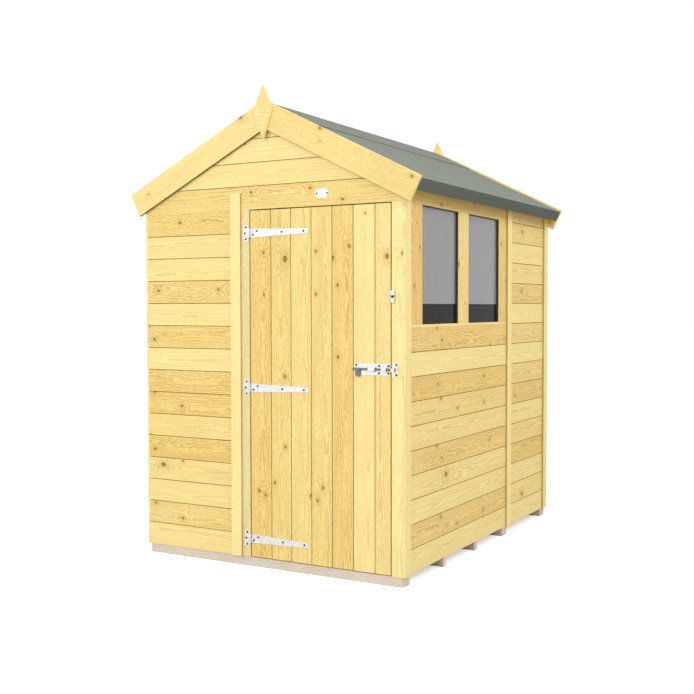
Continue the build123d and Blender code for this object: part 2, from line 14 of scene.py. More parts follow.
import bmesh
import bpy
from mathutils import Matrix, Vector, noise


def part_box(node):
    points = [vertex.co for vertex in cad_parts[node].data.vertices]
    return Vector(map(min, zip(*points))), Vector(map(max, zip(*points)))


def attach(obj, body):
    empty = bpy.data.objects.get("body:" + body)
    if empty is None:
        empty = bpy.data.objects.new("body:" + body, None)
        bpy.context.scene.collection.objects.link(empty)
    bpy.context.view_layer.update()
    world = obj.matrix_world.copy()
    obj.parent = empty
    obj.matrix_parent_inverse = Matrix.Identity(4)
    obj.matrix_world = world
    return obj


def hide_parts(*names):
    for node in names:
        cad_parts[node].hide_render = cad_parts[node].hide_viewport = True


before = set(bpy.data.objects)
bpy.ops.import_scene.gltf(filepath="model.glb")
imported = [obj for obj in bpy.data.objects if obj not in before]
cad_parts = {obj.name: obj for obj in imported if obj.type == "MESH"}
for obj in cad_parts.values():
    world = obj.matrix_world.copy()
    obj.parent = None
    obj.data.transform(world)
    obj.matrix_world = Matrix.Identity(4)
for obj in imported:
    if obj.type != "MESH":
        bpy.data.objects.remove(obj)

log = logging.getLogger("shed")

Colour = tuple[float, float, float]
Point = tuple[float, float]
Value = bpy.types.NodeSocket | float | tuple

LEFT = Vector((-1, 0, 0))
RIGHT = Vector((1, 0, 0))
FRONT = Vector((0, -1, 0))
BACK = Vector((0, 1, 0))
UP = Vector((0, 0, 1))
DOWN = Vector((0, 0, -1))

BOARD_PITCH = 0.1115
BOARD_THICKNESS = 0.012
GROOVE_WIDTH = 0.005
GROOVE_DEPTH = 0.0025
END_EASE = 0.001
RIDGE_HEIGHT = 2.2029
ROOF_PITCH = math.radians(26.4)
KNOTS_A_BOARD = 4
NO_KNOT = Vector((-50.0, 0.0, 0.001))
SMALL_KNOTS = (0.003, 0.0038, 0.0048, 0.0065)
TONE_SPREAD = 0.07
LOG_RUN = 40.0
FLAT_HEART_DEPTHS = (0.012, 0.035)
RIFT_HEART_SIDE = 0.22
RIFT_HEART_DEPTH = 0.04


class Tone(Enum):
    """How deep the colour of one board is, from fresh pale sapwood to warm heartwood."""

    PALE = 0.1
    LIGHT = 0.32
    MIDDLE = 0.54
    WARM = 0.78
    DEEP = 0.95


class Cut(Enum):
    """How a board was sawn: FLAT shows arches of grain, RIFT shows straight lines."""

    FLAT = "flat"
    RIFT = "rift"


@dataclass(frozen=True)
class Knot:
    """A knot on a board's face.

    Args:
        along: Distance from the start of the board.
        across: Distance from its lower or left edge.
        radius: Radius of the dark core.
    """

    along: float
    across: float
    radius: float = 0.0068


@dataclass(frozen=True)
class Course:
    """One board of a wall.

    Args:
        tone: How deep its colour is.
        knots: Knots at chosen places, or None for a few at random.
        cut: How it was sawn.
    """

    tone: Tone
    knots: tuple[Knot, ...] | None = None
    cut: Cut = Cut.FLAT


@dataclass(frozen=True)
class Place:
    """Where a board lies: its corner, and the ways of its run, its face and its depth."""

    origin: Vector
    along: Vector
    across: Vector
    depth: Vector

    def matrix(self) -> Matrix:
        """Find how the board's own lengths turn into the frame.

        Returns:
            The matrix.
        """
        turned = Matrix((self.along, self.across, self.depth)).transposed().to_4x4()
        turned.translation = self.origin
        return turned


def planed(width: float, thickness: float, arris: float = 0.0015) -> list[Point]:
    """Draw the section of a planed bar whose arrises are eased.

    Args:
        width: Width across the face.
        thickness: Thickness into the depth.
        arris: Radius of the eased edges.

    Returns:
        The outline, as distances across the face and into the depth.
    """
    corners = (
        (arris, arris, 180),
        (width - arris, arris, 270),
        (width - arris, thickness - arris, 0),
        (arris, thickness - arris, 90),
    )
    outline = []
    for across, depth, first in corners:
        for turn in (0, 45, 90):
            angle = math.radians(first + turn)
            outline.append(
                (across + arris * math.cos(angle), depth + arris * math.sin(angle))
            )
    return outline


def tongued(width: float, thickness: float, first: bool, last: bool) -> list[Point]:
    """Draw the section of a tongued board with half a V-groove along each joint.

    Args:
        width: Width across the face.
        thickness: Thickness into the depth.
        first: Whether the low edge is free, with no joint.
        last: Whether the high edge is free, with no joint.

    Returns:
        The outline, as distances across the face and into the depth.
    """
    slit = 0.0004
    lip = 0.0002
    arris = 0.0012
    bed = 0.55 * thickness
    half = GROOVE_WIDTH / 2
    outline = [(0.0, thickness)]
    if first:
        outline.extend([(0.0, arris), (arris, 0.0)])
    else:
        outline.extend([(0.0, bed), (slit, bed), (slit, GROOVE_DEPTH)])
        outline.extend([(half - 2 * lip, lip), (half + 4 * lip, 0.0)])
    if last:
        outline.extend([(width - arris, 0.0), (width, arris)])
    else:
        outline.extend([(width - half - 4 * lip, 0.0), (width - half + 2 * lip, lip)])
        outline.extend([(width - slit, GROOVE_DEPTH), (width - slit, bed), (width, bed)])
    outline.append((width, thickness))
    return outline


def solids(node: str) -> list[tuple[Vector, Vector]]:
    """Find the separate solids of a CAD node.

    Args:
        node: Name of the node.

    Returns:
        The lowest and highest corner of each solid.
    """
    mesh = bmesh.new()
    mesh.from_mesh(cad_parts[node].data)
    bmesh.ops.remove_doubles(mesh, verts=mesh.verts[:], dist=1e-5)
    waiting = set(mesh.verts)
    found = []
    while waiting:
        edge = [waiting.pop()]
        members = []
        while edge:
            corner = edge.pop()
            members.append(corner.co.copy())
            for link in corner.link_edges:
                other = link.other_vert(corner)
                if other in waiting:
                    waiting.discard(other)
                    edge.append(other)
        low = Vector([min(co[i] for co in members) for i in range(3)])
        high = Vector([max(co[i] for co in members) for i in range(3)])
        found.append((low, high))
    mesh.free()
    return sorted(found, key=lambda pair: tuple(pair[0]))


def lofted(
    mesh: bmesh.types.BMesh, rings: Sequence[Sequence[bmesh.types.BMVert]]
) -> list[list[bmesh.types.BMFace]]:
    """Close a solid over rings of corners that each lie one after another.

    Args:
        mesh: The mesh to add to.
        rings: The rings, with as many corners in each.

    Returns:
        The side faces between each ring and the next.
    """
    mesh.faces.new(rings[0])
    mesh.faces.new(list(reversed(rings[-1])))
    strips = []
    for low, high in zip(rings, rings[1:]):
        strip = []
        for spot in range(len(low)):
            after = (spot + 1) % len(low)
            strip.append(mesh.faces.new((low[spot], high[spot], high[after], low[after])))
        strips.append(strip)
    return strips


def settled(mesh: bmesh.types.BMesh, name: str) -> bpy.types.Mesh:
    """Turn a mesh's faces outward, keep it under a name and free the working copy.

    Args:
        mesh: The working mesh.
        name: Name of the kept mesh.

    Returns:
        The kept mesh.
    """
    bmesh.ops.recalc_face_normals(mesh, faces=mesh.faces[:])
    data = bpy.data.meshes.new(name)
    mesh.to_mesh(data)
    mesh.free()
    return data


def publish(
    name: str,
    mesh: bpy.types.Mesh,
    material: bpy.types.Material,
    body: str,
    nodes: Sequence[str] = (),
) -> bpy.types.Object:
    """Put a finished mesh in the scene and tie it to its body.

    Args:
        name: Name of the piece.
        mesh: Its mesh, in the frame.
        material: Its finish.
        body: The CAD body that carries it.
        nodes: The CAD nodes that it stands for.

    Returns:
        The new object.
    """
    piece = bpy.data.objects.new(name, mesh)
    bpy.context.scene.collection.objects.link(piece)
    if not mesh.materials:
        mesh.materials.append(material)
    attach(piece, body)
    if nodes:
        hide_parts(*nodes)
    log.info("%s: %d faces on %s", name, len(mesh.polygons), body)
    return piece


class Timber:
    """Gathers boards into one piece, with what the pine finish needs to know of each."""

    def __init__(self, name: str, seed: int) -> None:
        """Start an empty piece.

        Args:
            name: Name of the piece.
            seed: Seed of its boards' small differences.
        """
        self.name = name
        self.chance = random.Random(seed)
        self.corners: list[Vector] = []
        self.faces: list[list[int]] = []
        self.places: list[Vector] = []
        self.hearts: list[Vector] = []
        self.tones: list[float] = []
        self.sunk: list[float] = []
        self.knots: list[list[Vector]] = [[] for _ in range(KNOTS_A_BOARD)]

    def scattered(self, length: float, width: float) -> list[Knot]:
        """Choose a few small knots for a board.

        Args:
            length: Length of the board.
            width: Width of its face.

        Returns:
            The knots.
        """
        wanted = min(KNOTS_A_BOARD, int(self.chance.random() * (1.2 + 1.6 * length)))
        margin = min(0.012, width / 4)
        return [
            Knot(
                self.chance.uniform(0.0, length),
                self.chance.uniform(margin, width - margin),
                self.chance.choice(SMALL_KNOTS),
            )
            for _ in range(wanted)
        ]

    def take(
        self,
        mesh: bmesh.types.BMesh,
        place: Place,
        width: float,
        tone: float,
        cut: Cut,
        knots: Sequence[Knot],
    ) -> None:
        """Add one shaped board, and free the mesh that it came in.

        Args:
            mesh: The board in the frame.
            place: Where its grain runs.
            width: Width of its face.
            tone: How deep its colour is.
            cut: How it was sawn.
            knots: The knots that it shows.
        """
        if not mesh.verts:
            mesh.free()
            return
        bmesh.ops.recalc_face_normals(mesh, faces=mesh.faces[:])
        mesh.verts.index_update()
        first = len(self.corners)
        to_board = place.matrix().inverted()
        shift = self.chance.uniform(0.0, LOG_RUN)
        if cut is Cut.FLAT:
            middle = width * self.chance.uniform(0.3, 0.7)
            heart = (middle, self.chance.uniform(*FLAT_HEART_DEPTHS))
        else:
            side = self.chance.choice((-1, 1))
            heart = (width * 0.5 + side * RIFT_HEART_SIDE, RIFT_HEART_DEPTH)
        for corner in mesh.verts:
            local = to_board @ corner.co
            self.corners.append(corner.co.copy())
            self.places.append(Vector((local.x + shift, local.y, local.z)))
            self.hearts.append(Vector((*heart, shift * 0.37)))
            self.tones.append(tone)
            # Faces down in a joint's groove, which the cladding darkens as painted shade.
            jointed = min(local.y, width - local.y) < GROOVE_WIDTH
            buried = GROOVE_DEPTH - 1e-5 < local.z < 3 * GROOVE_DEPTH
            self.sunk.append(float(jointed and buried))
            for row in range(KNOTS_A_BOARD):
                spot = NO_KNOT
                if row < len(knots):
                    knot = knots[row]
                    spot = Vector((knot.along + shift, knot.across, knot.radius))
                self.knots[row].append(spot)
        for side in mesh.faces:
            self.faces.append([first + corner.index for corner in side.verts])
        mesh.free()

    def board(
        self,
        place: Place,
        section: Sequence[Point],
        length: float,
        course: Course,
        cuts: Iterable[tuple[Vector, Vector]] = (),
        ease: float = 0.0,
    ) -> None:
        """Add a board of one section.

        Args:
            place: Where the board lies.
            section: Its outline, across the face and into the depth.
            length: Its length.
            course: Its tone, cut and knots.
            cuts: Points and outward normals of the planes that trim it, in the frame.
            ease: How far its two ends are chamfered.
        """
        mesh = bmesh.new()
        across = [point[0] for point in section]
        depth = [point[1] for point in section]
        width = max(across)
        centre = ((min(across) + width) / 2, (min(depth) + max(depth)) / 2)
        half = (centre[0] - min(across), centre[1] - min(depth))
        stations = [(0.0, 0.0), (length, 0.0)]
        if ease:
            stations = [(0.0, ease), (ease, 0.0), (length - ease, 0.0), (length, ease)]
        turn = place.matrix()
        rings = []
        for along, inset in stations:
            ring = []
            for spot in section:
                local = Vector(
                    (
                        along,
                        centre[0] + (spot[0] - centre[0]) * (1 - inset / half[0]),
                        centre[1] + (spot[1] - centre[1]) * (1 - inset / half[1]),
                    )
                )
                ring.append(mesh.verts.new(turn @ local))
            rings.append(ring)
        lofted(mesh, rings)
        for point, normal in cuts:
            bmesh.ops.bisect_plane(
                mesh,
                geom=mesh.verts[:] + mesh.edges[:] + mesh.faces[:],
                dist=1e-6,
                plane_co=point,
                plane_no=normal,
                clear_outer=True,
            )
            open_edges = [edge for edge in mesh.edges if edge.is_boundary]
            if open_edges:
                bmesh.ops.holes_fill(mesh, edges=open_edges, sides=0)
        knots = course.knots
        if knots is None:
            knots = self.scattered(length, width)
        tone = course.tone.value + self.chance.uniform(-TONE_SPREAD, TONE_SPREAD)
        self.take(mesh, place, width, tone, course.cut, knots)

    def bar(self, low: Vector, high: Vector, outward: Vector, course: Course) -> None:
        """Add a planed bar that fills a box, with its run along the longest side.

        Args:
            low: Lowest corner of the box.
            high: Highest corner.
            outward: The way its face looks.
            course: Its tone, cut and knots.
        """
        size = high - low
        facing = max(range(3), key=lambda axis: abs(outward[axis]))
        others = sorted((axis for axis in range(3) if axis != facing), key=lambda a: -size[a])
        along, across = (Vector([float(axis == a) for a in range(3)]) for axis in others)
        origin = low.copy()
        if outward[facing] > 0:
            origin[facing] = high[facing]
        section = planed(size[others[1]], size[facing])
        place = Place(origin, along, across, -outward)
        self.board(place, section, size[others[0]], course, ease=END_EASE)

    def piece(
        self, material: bpy.types.Material, body: str, slot: str, nodes: Sequence[str]
    ) -> bpy.types.Object:
        """Turn the gathered boards into one object.

        Args:
            material: The finish.
            body: The CAD body that carries it.
            slot: The record's material slot; not used.
            nodes: The CAD nodes that it stands for.

        Returns:
            The new object.
        """
        mesh = bpy.data.meshes.new(self.name)
        mesh.from_pydata(self.corners, [], self.faces)
        vectors = {"place": self.places, "heart": self.hearts}
        for row, spots in enumerate(self.knots):
            vectors[f"knot_{row + 1}"] = spots
        for name, rows in vectors.items():
            layer = mesh.attributes.new(name, "FLOAT_VECTOR", "POINT")
            layer.data.foreach_set("vector", [part for row in rows for part in row])
        for name, values in (("tone", self.tones), ("sunk", self.sunk)):
            layer = mesh.attributes.new(name, "FLOAT", "POINT")
            layer.data.foreach_set("value", values)
        mesh.update()
        return publish(self.name, mesh, material, body, nodes)


class Wiring:
    """Adds nodes to one shader tree and joins them."""

    def __init__(self, tree: bpy.types.NodeTree) -> None:
        """Take the tree to work in."""
        self.tree = tree

    def node(self, kind: str, **settings: object) -> bpy.types.Node:
        """Add a node and set its options, each row below the last.

        Args:
            kind: The node's type.
            **settings: Its options by name.

        Returns:
            The node.
        """
        made = self.tree.nodes.new(kind)
        made.location = (260 * (len(self.tree.nodes) % 12), -40 * len(self.tree.nodes))
        for name, value in settings.items():
            setattr(made, name, value)
        return made

    def feed(self, socket: bpy.types.NodeSocket, value: Value) -> None:
        """Link a socket, or set it to a constant.

        Args:
            socket: The socket that takes the value.
            value: Another node's output, or a constant.
        """
        if isinstance(value, bpy.types.NodeSocket):
            self.tree.links.new(value, socket)
        else:
            socket.default_value = value

    def math(
        self, operation: str, first: Value, second: Value = 0.0, clamp: bool = False
    ) -> bpy.types.NodeSocket:
        """Add a Math node.

        Args:
            operation: What it does.
            first: First number.
            second: Second number.
            clamp: Whether the result stays between 0 and 1.

        Returns:
            The result's socket.
        """
        made = self.node("ShaderNodeMath", operation=operation, use_clamp=clamp)
        self.feed(made.inputs[0], first)
        self.feed(made.inputs[1], second)
        return made.outputs[0]

    def times(self, first: Value, second: Value) -> bpy.types.NodeSocket:
        """Multiply two numbers and return the result's socket."""
        return self.math("MULTIPLY", first, second)

    def plus(self, first: Value, second: Value) -> bpy.types.NodeSocket:
        """Add two numbers and return the result's socket."""
        return self.math("ADD", first, second)

    def minus(self, first: Value, second: Value) -> bpy.types.NodeSocket:
        """Take the second number from the first and return the result's socket."""
        return self.math("SUBTRACT", first, second)

    def distance(self, across: Value, deep: Value) -> bpy.types.NodeSocket:
        """Return the socket of the distance that two lengths at a right angle span."""
        return self.math("SQRT", self.plus(self.times(across, across), self.times(deep, deep)))

    def effect(self, group: bpy.types.NodeTree, values: dict[str, Value]) -> bpy.types.Node:
        """Place a shared node group.

        Args:
            group: The group.
            values: What goes into its inputs, by name.

        Returns:
            The group's node.
        """
        made = self.node("ShaderNodeGroup", node_tree=group)
        for name, value in values.items():
            self.feed(made.inputs[name], value)
        return made

    def bump(
        self, surface: bpy.types.Node, height: Value, strength: float, distance: float
    ) -> None:
        """Tilt a surface's normals by a height.

        Args:
            surface: The surface's node.
            height: The height over the surface.
            strength: Share of the tilt that shows.
            distance: How far a height of one stands out.
        """
        made = self.node("ShaderNodeBump")
        made.inputs["Strength"].default_value = strength
        made.inputs["Distance"].default_value = distance
        self.feed(made.inputs["Height"], height)
        self.feed(surface.inputs["Normal"], made.outputs[0])

    def scaled(self, vector: Value, factors: tuple) -> bpy.types.NodeSocket:
        """Multiply the parts of a vector.

        Args:
            vector: The vector.
            factors: The factor of each part.

        Returns:
            The result's socket.
        """
        made = self.node("ShaderNodeVectorMath", operation="MULTIPLY")
        self.feed(made.inputs[0], vector)
        self.feed(made.inputs[1], factors)
        return made.outputs[0]

    def parts(self, vector: Value) -> tuple[bpy.types.NodeSocket, ...]:
        """Split a vector.

        Args:
            vector: The vector.

        Returns:
            The sockets of its three parts.
        """
        made = self.node("ShaderNodeSeparateXYZ")
        self.feed(made.inputs[0], vector)
        return tuple(made.outputs[:3])

    def noise(
        self, vector: Value, factors: tuple, detail: float = 2.0, rough: float = 0.5
    ) -> bpy.types.NodeSocket:
        """Add a noise texture stretched by three factors.

        Args:
            vector: Where it is read.
            factors: Scale along each part of the vector.
            detail: Number of finer layers.
            rough: How strong the finer layers are.

        Returns:
            The socket of its value, about 0.5 in the mean.
        """
        made = self.node("ShaderNodeTexNoise")
        self.feed(made.inputs["Vector"], self.scaled(vector, factors))
        self.feed(made.inputs["Scale"], 1.0)
        self.feed(made.inputs["Detail"], detail)
        self.feed(made.inputs["Roughness"], rough)
        return made.outputs[0]

    def step(
        self, value: Value, low: float, high: float, start: Value = 0.0, end: Value = 1.0
    ) -> bpy.types.NodeSocket:
        """Ease a value from one level to another.

        Args:
            value: The value.
            low: Where the change begins.
            high: Where it ends.
            start: The level before.
            end: The level after.

        Returns:
            The result's socket.
        """
        made = self.node("ShaderNodeMapRange", interpolation_type="SMOOTHSTEP")
        for socket, given in zip(made.inputs[:5], (value, low, high, start, end)):
            self.feed(socket, given)
        return made.outputs[0]

    def mix(
        self, factor: Value, first: Value, second: Value, blend: str = "MIX"
    ) -> bpy.types.NodeSocket:
        """Mix two colours.

        Args:
            factor: Share of the second.
            first: First colour.
            second: Second colour.
            blend: How they are mixed.

        Returns:
            The result's socket.
        """
        made = self.node("ShaderNodeMix", data_type="RGBA", blend_type=blend)
        self.feed(made.inputs[0], factor)
        self.feed(made.inputs[6], first)
        self.feed(made.inputs[7], second)
        return made.outputs[2]


def linear(red: float, green: float, blue: float) -> tuple[float, float, float, float]:
    """Turn a colour as it is seen into the light it reflects.

    Args:
        red: Its red, from 0 to 255.
        green: Its green.
        blue: Its blue.

    Returns:
        The reflected shares, with a full alpha.
    """
    parts = []
    for part in (red, green, blue):
        share = part / 255
        parts.append(share / 12.92 if share <= 0.04045 else ((share + 0.055) / 1.055) ** 2.4)
    return (*parts, 1.0)


SOCKETS = {
    "vector": "NodeSocketVector",
    "value": "NodeSocketFloat",
    "colour": "NodeSocketColor",
}


def new_effect(
    name: str, takes: dict[str, str], gives: dict[str, str]
) -> tuple[bpy.types.NodeTree, Wiring, bpy.types.Node, bpy.types.Node]:
    """Start a shader node group with named sockets.

    Args:
        name: Name of the group.
        takes: Kind of each input, by name.
        gives: Kind of each output, by name.

    Returns:
        The group, its wiring, and its input and output nodes.
    """
    group = bpy.data.node_groups.new(name, "ShaderNodeTree")
    for label, kind in takes.items():
        group.interface.new_socket(name=label, in_out="INPUT", socket_type=SOCKETS[kind])
    for label, kind in gives.items():
        group.interface.new_socket(name=label, in_out="OUTPUT", socket_type=SOCKETS[kind])
    wiring = Wiring(group)
    return group, wiring, wiring.node("NodeGroupInput"), wiring.node("NodeGroupOutput")


class Effects:
    """The node groups that more than one finish uses, each built once."""

    def __init__(self) -> None:
        """Build every group."""
        self.knot = self._knot()
        self.pine = self._pine()
        self.saw_marks = self._saw_marks()
        self.bloom = self._bloom()

    def _knot(self) -> bpy.types.NodeTree:
        """Build the knot: its core, the halo round it and how it pushes the rings.

        Returns:
            The group.
        """
        takes = {"Place": "vector", "Knot": "vector"}
        gives = {"Core": "value", "Halo": "value", "Swell": "value"}
        group, wire, start, end = new_effect("Knot", takes, gives)
        place_x, place_y, _ = wire.parts(start.outputs["Place"])
        knot_x, knot_y, radius = wire.parts(start.outputs["Knot"])
        shortening = 0.72
        raggedness = 0.5
        halo_reach, swell_reach = 4.6, 7.5
        swell_height = 2.6
        ragged = wire.noise(start.outputs["Place"], (160.0, 160.0, 160.0), 1.0)
        along = wire.times(wire.minus(place_x, knot_x), shortening)
        across = wire.minus(place_y, knot_y)
        away = wire.math("DIVIDE", wire.distance(along, across), radius)
        away = wire.plus(away, wire.times(ragged, raggedness))
        core = wire.step(away, 1.35, 0.85)
        bark = wire.step(away, 0.35, 0.95, 0.62, 1.0)
        wire.feed(end.inputs["Core"], wire.times(core, bark))
        wire.feed(end.inputs["Halo"], wire.step(away, halo_reach, 1.0))
        swell = wire.times(wire.step(away, swell_reach, 0.0), radius)
        wire.feed(end.inputs["Swell"], wire.times(swell, swell_height))
        return group

    def _pine(self) -> bpy.types.NodeTree:
        """Build the figure of pine from growth rings round a heart, with its knots.

        Returns:
            The group.
        """
        takes = {
            "Place": "vector",
            "Heart": "vector",
            "Tone": "value",
            "Knot 1": "vector",
            "Knot 2": "vector",
            "Knot 3": "vector",
            "Knot 4": "vector",
            "Pale": "colour",
            "Warm": "colour",
            "Line": "colour",
            "Knot Colour": "colour",
            "Ring Spacing": "value",
            "Line Strength": "value",
            "Streaks": "value",
        }
        gives = {"Colour": "colour", "Height": "value", "Lines": "value"}
        group, wire, start, end = new_effect("Pine figure", takes, gives)
        given = start.outputs
        _, across, depth = wire.parts(given["Place"])
        heart_across, heart_depth, seed = wire.parts(given["Heart"])
        moved = wire.node("ShaderNodeCombineXYZ")
        for socket, factor in zip(moved.inputs, (3.0, 1.7, 0.9)):
            wire.feed(socket, wire.times(seed, factor))
        shifted = wire.node("ShaderNodeVectorMath", operation="ADD")
        wire.feed(shifted.inputs[0], given["Place"])
        wire.feed(shifted.inputs[1], moved.outputs[0])
        spot = shifted.outputs[0]

        core: Value = 0.0
        halo: Value = 0.0
        swell: Value = 0.0
        for row in range(KNOTS_A_BOARD):
            values = {"Place": given["Place"], "Knot": given[f"Knot {row + 1}"]}
            knot = wire.effect(self.knot, values)
            core = wire.math("MAXIMUM", core, knot.outputs["Core"])
            halo = wire.math("MAXIMUM", halo, knot.outputs["Halo"])
            swell = wire.plus(swell, knot.outputs["Swell"])

        slow = wire.minus(wire.noise(spot, (1.6, 7.0, 7.0), 1.0), 0.5)
        quick = wire.minus(wire.noise(spot, (14.0, 34.0, 34.0), 2.0), 0.5)
        swirl = wire.plus(wire.times(given["Tone"], 0.013), 0.008)
        ripple = wire.plus(wire.times(slow, 0.06), wire.times(quick, swirl))
        side = wire.minus(across, heart_across)
        deep = wire.plus(depth, heart_depth)
        ring = wire.plus(wire.distance(side, deep), wire.plus(ripple, swell))
        phase = wire.math("FRACT", wire.math("DIVIDE", ring, given["Ring Spacing"]))
        rise = wire.step(phase, 0.25, 0.82)
        fall = wire.step(phase, 1.0, 0.88)
        lines = wire.times(rise, fall)
        uneven = wire.step(wire.noise(spot, (2.2, 26.0, 26.0), 2.0), 0.25, 0.75, 0.25, 1.0)
        lines = wire.times(lines, uneven)

        fibre = wire.noise(spot, (9.0, 700.0, 700.0), 2.0, 0.6)
        streak = wire.minus(wire.noise(spot, (1.3, 60.0, 60.0), 3.0, 0.6), 0.5)
        blotch = wire.minus(wire.noise(spot, (2.6, 9.0, 9.0), 2.0), 0.5)
        wander = wire.plus(wire.times(streak, 0.9), blotch)
        wander = wire.times(wander, given["Streaks"])
        tone = wire.math("ADD", given["Tone"], wander, clamp=True)
        colour = wire.mix(tone, given["Pale"], given["Warm"])
        depth_of_line = wire.plus(wire.times(given["Tone"], 0.75), 0.42)
        weight = wire.times(wire.times(lines, given["Line Strength"]), depth_of_line)
        colour = wire.mix(weight, colour, given["Line"])
        curl = wire.noise(spot, (55.0, 160.0, 160.0), 2.0, 0.6)
        grain = wire.plus(wire.times(fibre, 0.35), wire.times(curl, 0.65))
        dark = wire.minus(0.92, wire.times(given["Tone"], 0.12))
        light = wire.plus(1.03, wire.times(given["Tone"], 0.06))
        grey = wire.step(grain, 0.3, 0.7, dark, light)
        shade = wire.node("ShaderNodeCombineXYZ")
        for socket in shade.inputs:
            wire.feed(socket, grey)
        colour = wire.mix(1.0, colour, shade.outputs[0], "MULTIPLY")
        colour = wire.mix(wire.times(halo, 0.42), colour, given["Line"])
        colour = wire.mix(wire.times(core, 0.93), colour, given["Knot Colour"])
        wire.feed(end.inputs["Colour"], colour)
        raised = wire.plus(wire.times(lines, 0.6), wire.times(fibre, 0.4))
        wire.feed(end.inputs["Height"], wire.plus(raised, core))
        wire.feed(end.inputs["Lines"], lines)
        return group

    def _saw_marks(self) -> bpy.types.NodeTree:
        """Build the fuzzy ridges that a saw leaves across a board's run.

        Returns:
            The group.
        """
        group, wire, start, end = new_effect(
            "Saw marks", {"Place": "vector"}, {"Ridge": "value", "Fuzz": "value"}
        )
        place = start.outputs["Place"]
        along, across, _ = wire.parts(place)
        drift = wire.noise(place, (5.0, 12.0, 12.0), 1.0)
        slant = wire.plus(along, wire.times(across, 0.25))
        turns = wire.plus(wire.times(slant, 900.0), wire.times(drift, 9.0))
        wave = wire.times(wire.math("SINE", turns), 0.5)
        wire.feed(end.inputs["Ridge"], wire.plus(wave, 0.5))
        wire.feed(end.inputs["Fuzz"], wire.noise(place, (60.0, 420.0, 420.0), 3.0, 0.7))
        return group

    def _bloom(self) -> bpy.types.NodeTree:
        """Build the cloudy bloom and fine scratches of plated or painted metal.

        Returns:
            The group.
        """
        group, wire, start, end = new_effect(
            "Plating bloom", {"Place": "vector"}, {"Cloud": "value", "Scratch": "value"}
        )
        place = start.outputs["Place"]
        wire.feed(end.inputs["Cloud"], wire.noise(place, (90.0, 90.0, 90.0), 3.0, 0.6))
        wire.feed(end.inputs["Scratch"], wire.noise(place, (60.0, 60.0, 2400.0), 2.0, 0.6))
        return group


def new_material(name: str) -> tuple[bpy.types.Material, Wiring, bpy.types.Node]:
    """Start a material.

    Args:
        name: Its name.

    Returns:
        The material, its wiring and its surface node.
    """
    made = bpy.data.materials.new(name)
    made.use_nodes = True
    surface = made.node_tree.nodes["Principled BSDF"]
    return made, Wiring(made.node_tree), surface


@dataclass(frozen=True)
class Pine:
    """Planed or sawn softwood.

    Args:
        name: Name of the finish.
        pale: Colour of its palest boards, as seen.
        warm: Colour of its deepest boards.
        line: Colour of its late growth.
        knot: Colour of its knots.
        ring_spacing: Distance between growth rings.
        line_strength: How strongly the late growth shows.
        streaks: How much its tone wanders.
        saw_relief: How strong the saw's ridges are.
        roughness: How dull it is.
        relief: Height of the grain.
        groove: Colour of the painted shade in the grooves between tongued boards, or None without
            them.
    """

    name: str
    pale: Colour
    warm: Colour
    line: Colour
    knot: Colour
    ring_spacing: float = 0.0052
    line_strength: float = 0.5
    streaks: float = 0.5
    saw_relief: float = 0.0
    roughness: float = 0.62
    relief: float = 0.0004
    groove: Colour | None = None

    def material(self, effects: Effects) -> bpy.types.Material:
        """Make the finish.

        Args:
            effects: The shared node groups.

        Returns:
            The material.
        """
        made, wire, surface = new_material(self.name)

        def noted(name: str, output: str) -> bpy.types.NodeSocket:
            """Read one of the boards' own values."""
            return wire.node("ShaderNodeAttribute", attribute_name=name).outputs[output]

        place = noted("place", "Vector")
        values = {
            "Place": place,
            "Heart": noted("heart", "Vector"),
            "Tone": noted("tone", "Fac"),
            "Pale": linear(*self.pale),
            "Warm": linear(*self.warm),
            "Line": linear(*self.line),
            "Knot Colour": linear(*self.knot),
            "Ring Spacing": self.ring_spacing,
            "Line Strength": self.line_strength,
            "Streaks": self.streaks,
        }
        for row in range(1, KNOTS_A_BOARD + 1):
            values[f"Knot {row}"] = noted(f"knot_{row}", "Vector")
        figure = wire.effect(effects.pine, values)
        colour = figure.outputs["Colour"]
        height = figure.outputs["Height"]
        if self.saw_relief:
            marks = wire.effect(effects.saw_marks, {"Place": place})
            ridge = wire.times(marks.outputs["Ridge"], self.saw_relief)
            fuzz = wire.times(marks.outputs["Fuzz"], 2 * self.saw_relief)
            height = wire.plus(height, wire.plus(ridge, fuzz))
            dust = wire.step(marks.outputs["Fuzz"], 0.35, 0.7, 0.0, 0.3 * self.saw_relief)
            colour = wire.mix(dust, colour, linear(*self.line))
        # Painted shade in the V-grooves between the boards.
        if self.groove:
            sunk = wire.step(noted("sunk", "Fac"), 0.0, 0.52, 0.0, 0.8)
            colour = wire.mix(sunk, colour, linear(*self.groove))
        wire.feed(surface.inputs["Base Color"], colour)
        polished = self.roughness - 0.08
        dull = wire.step(figure.outputs["Lines"], 0.0, 1.0, self.roughness, polished)
        wire.feed(surface.inputs["Roughness"], dull)
        surface.inputs["Specular IOR Level"].default_value = 0.28
        wire.bump(surface, height, 0.5, self.relief)
        return made


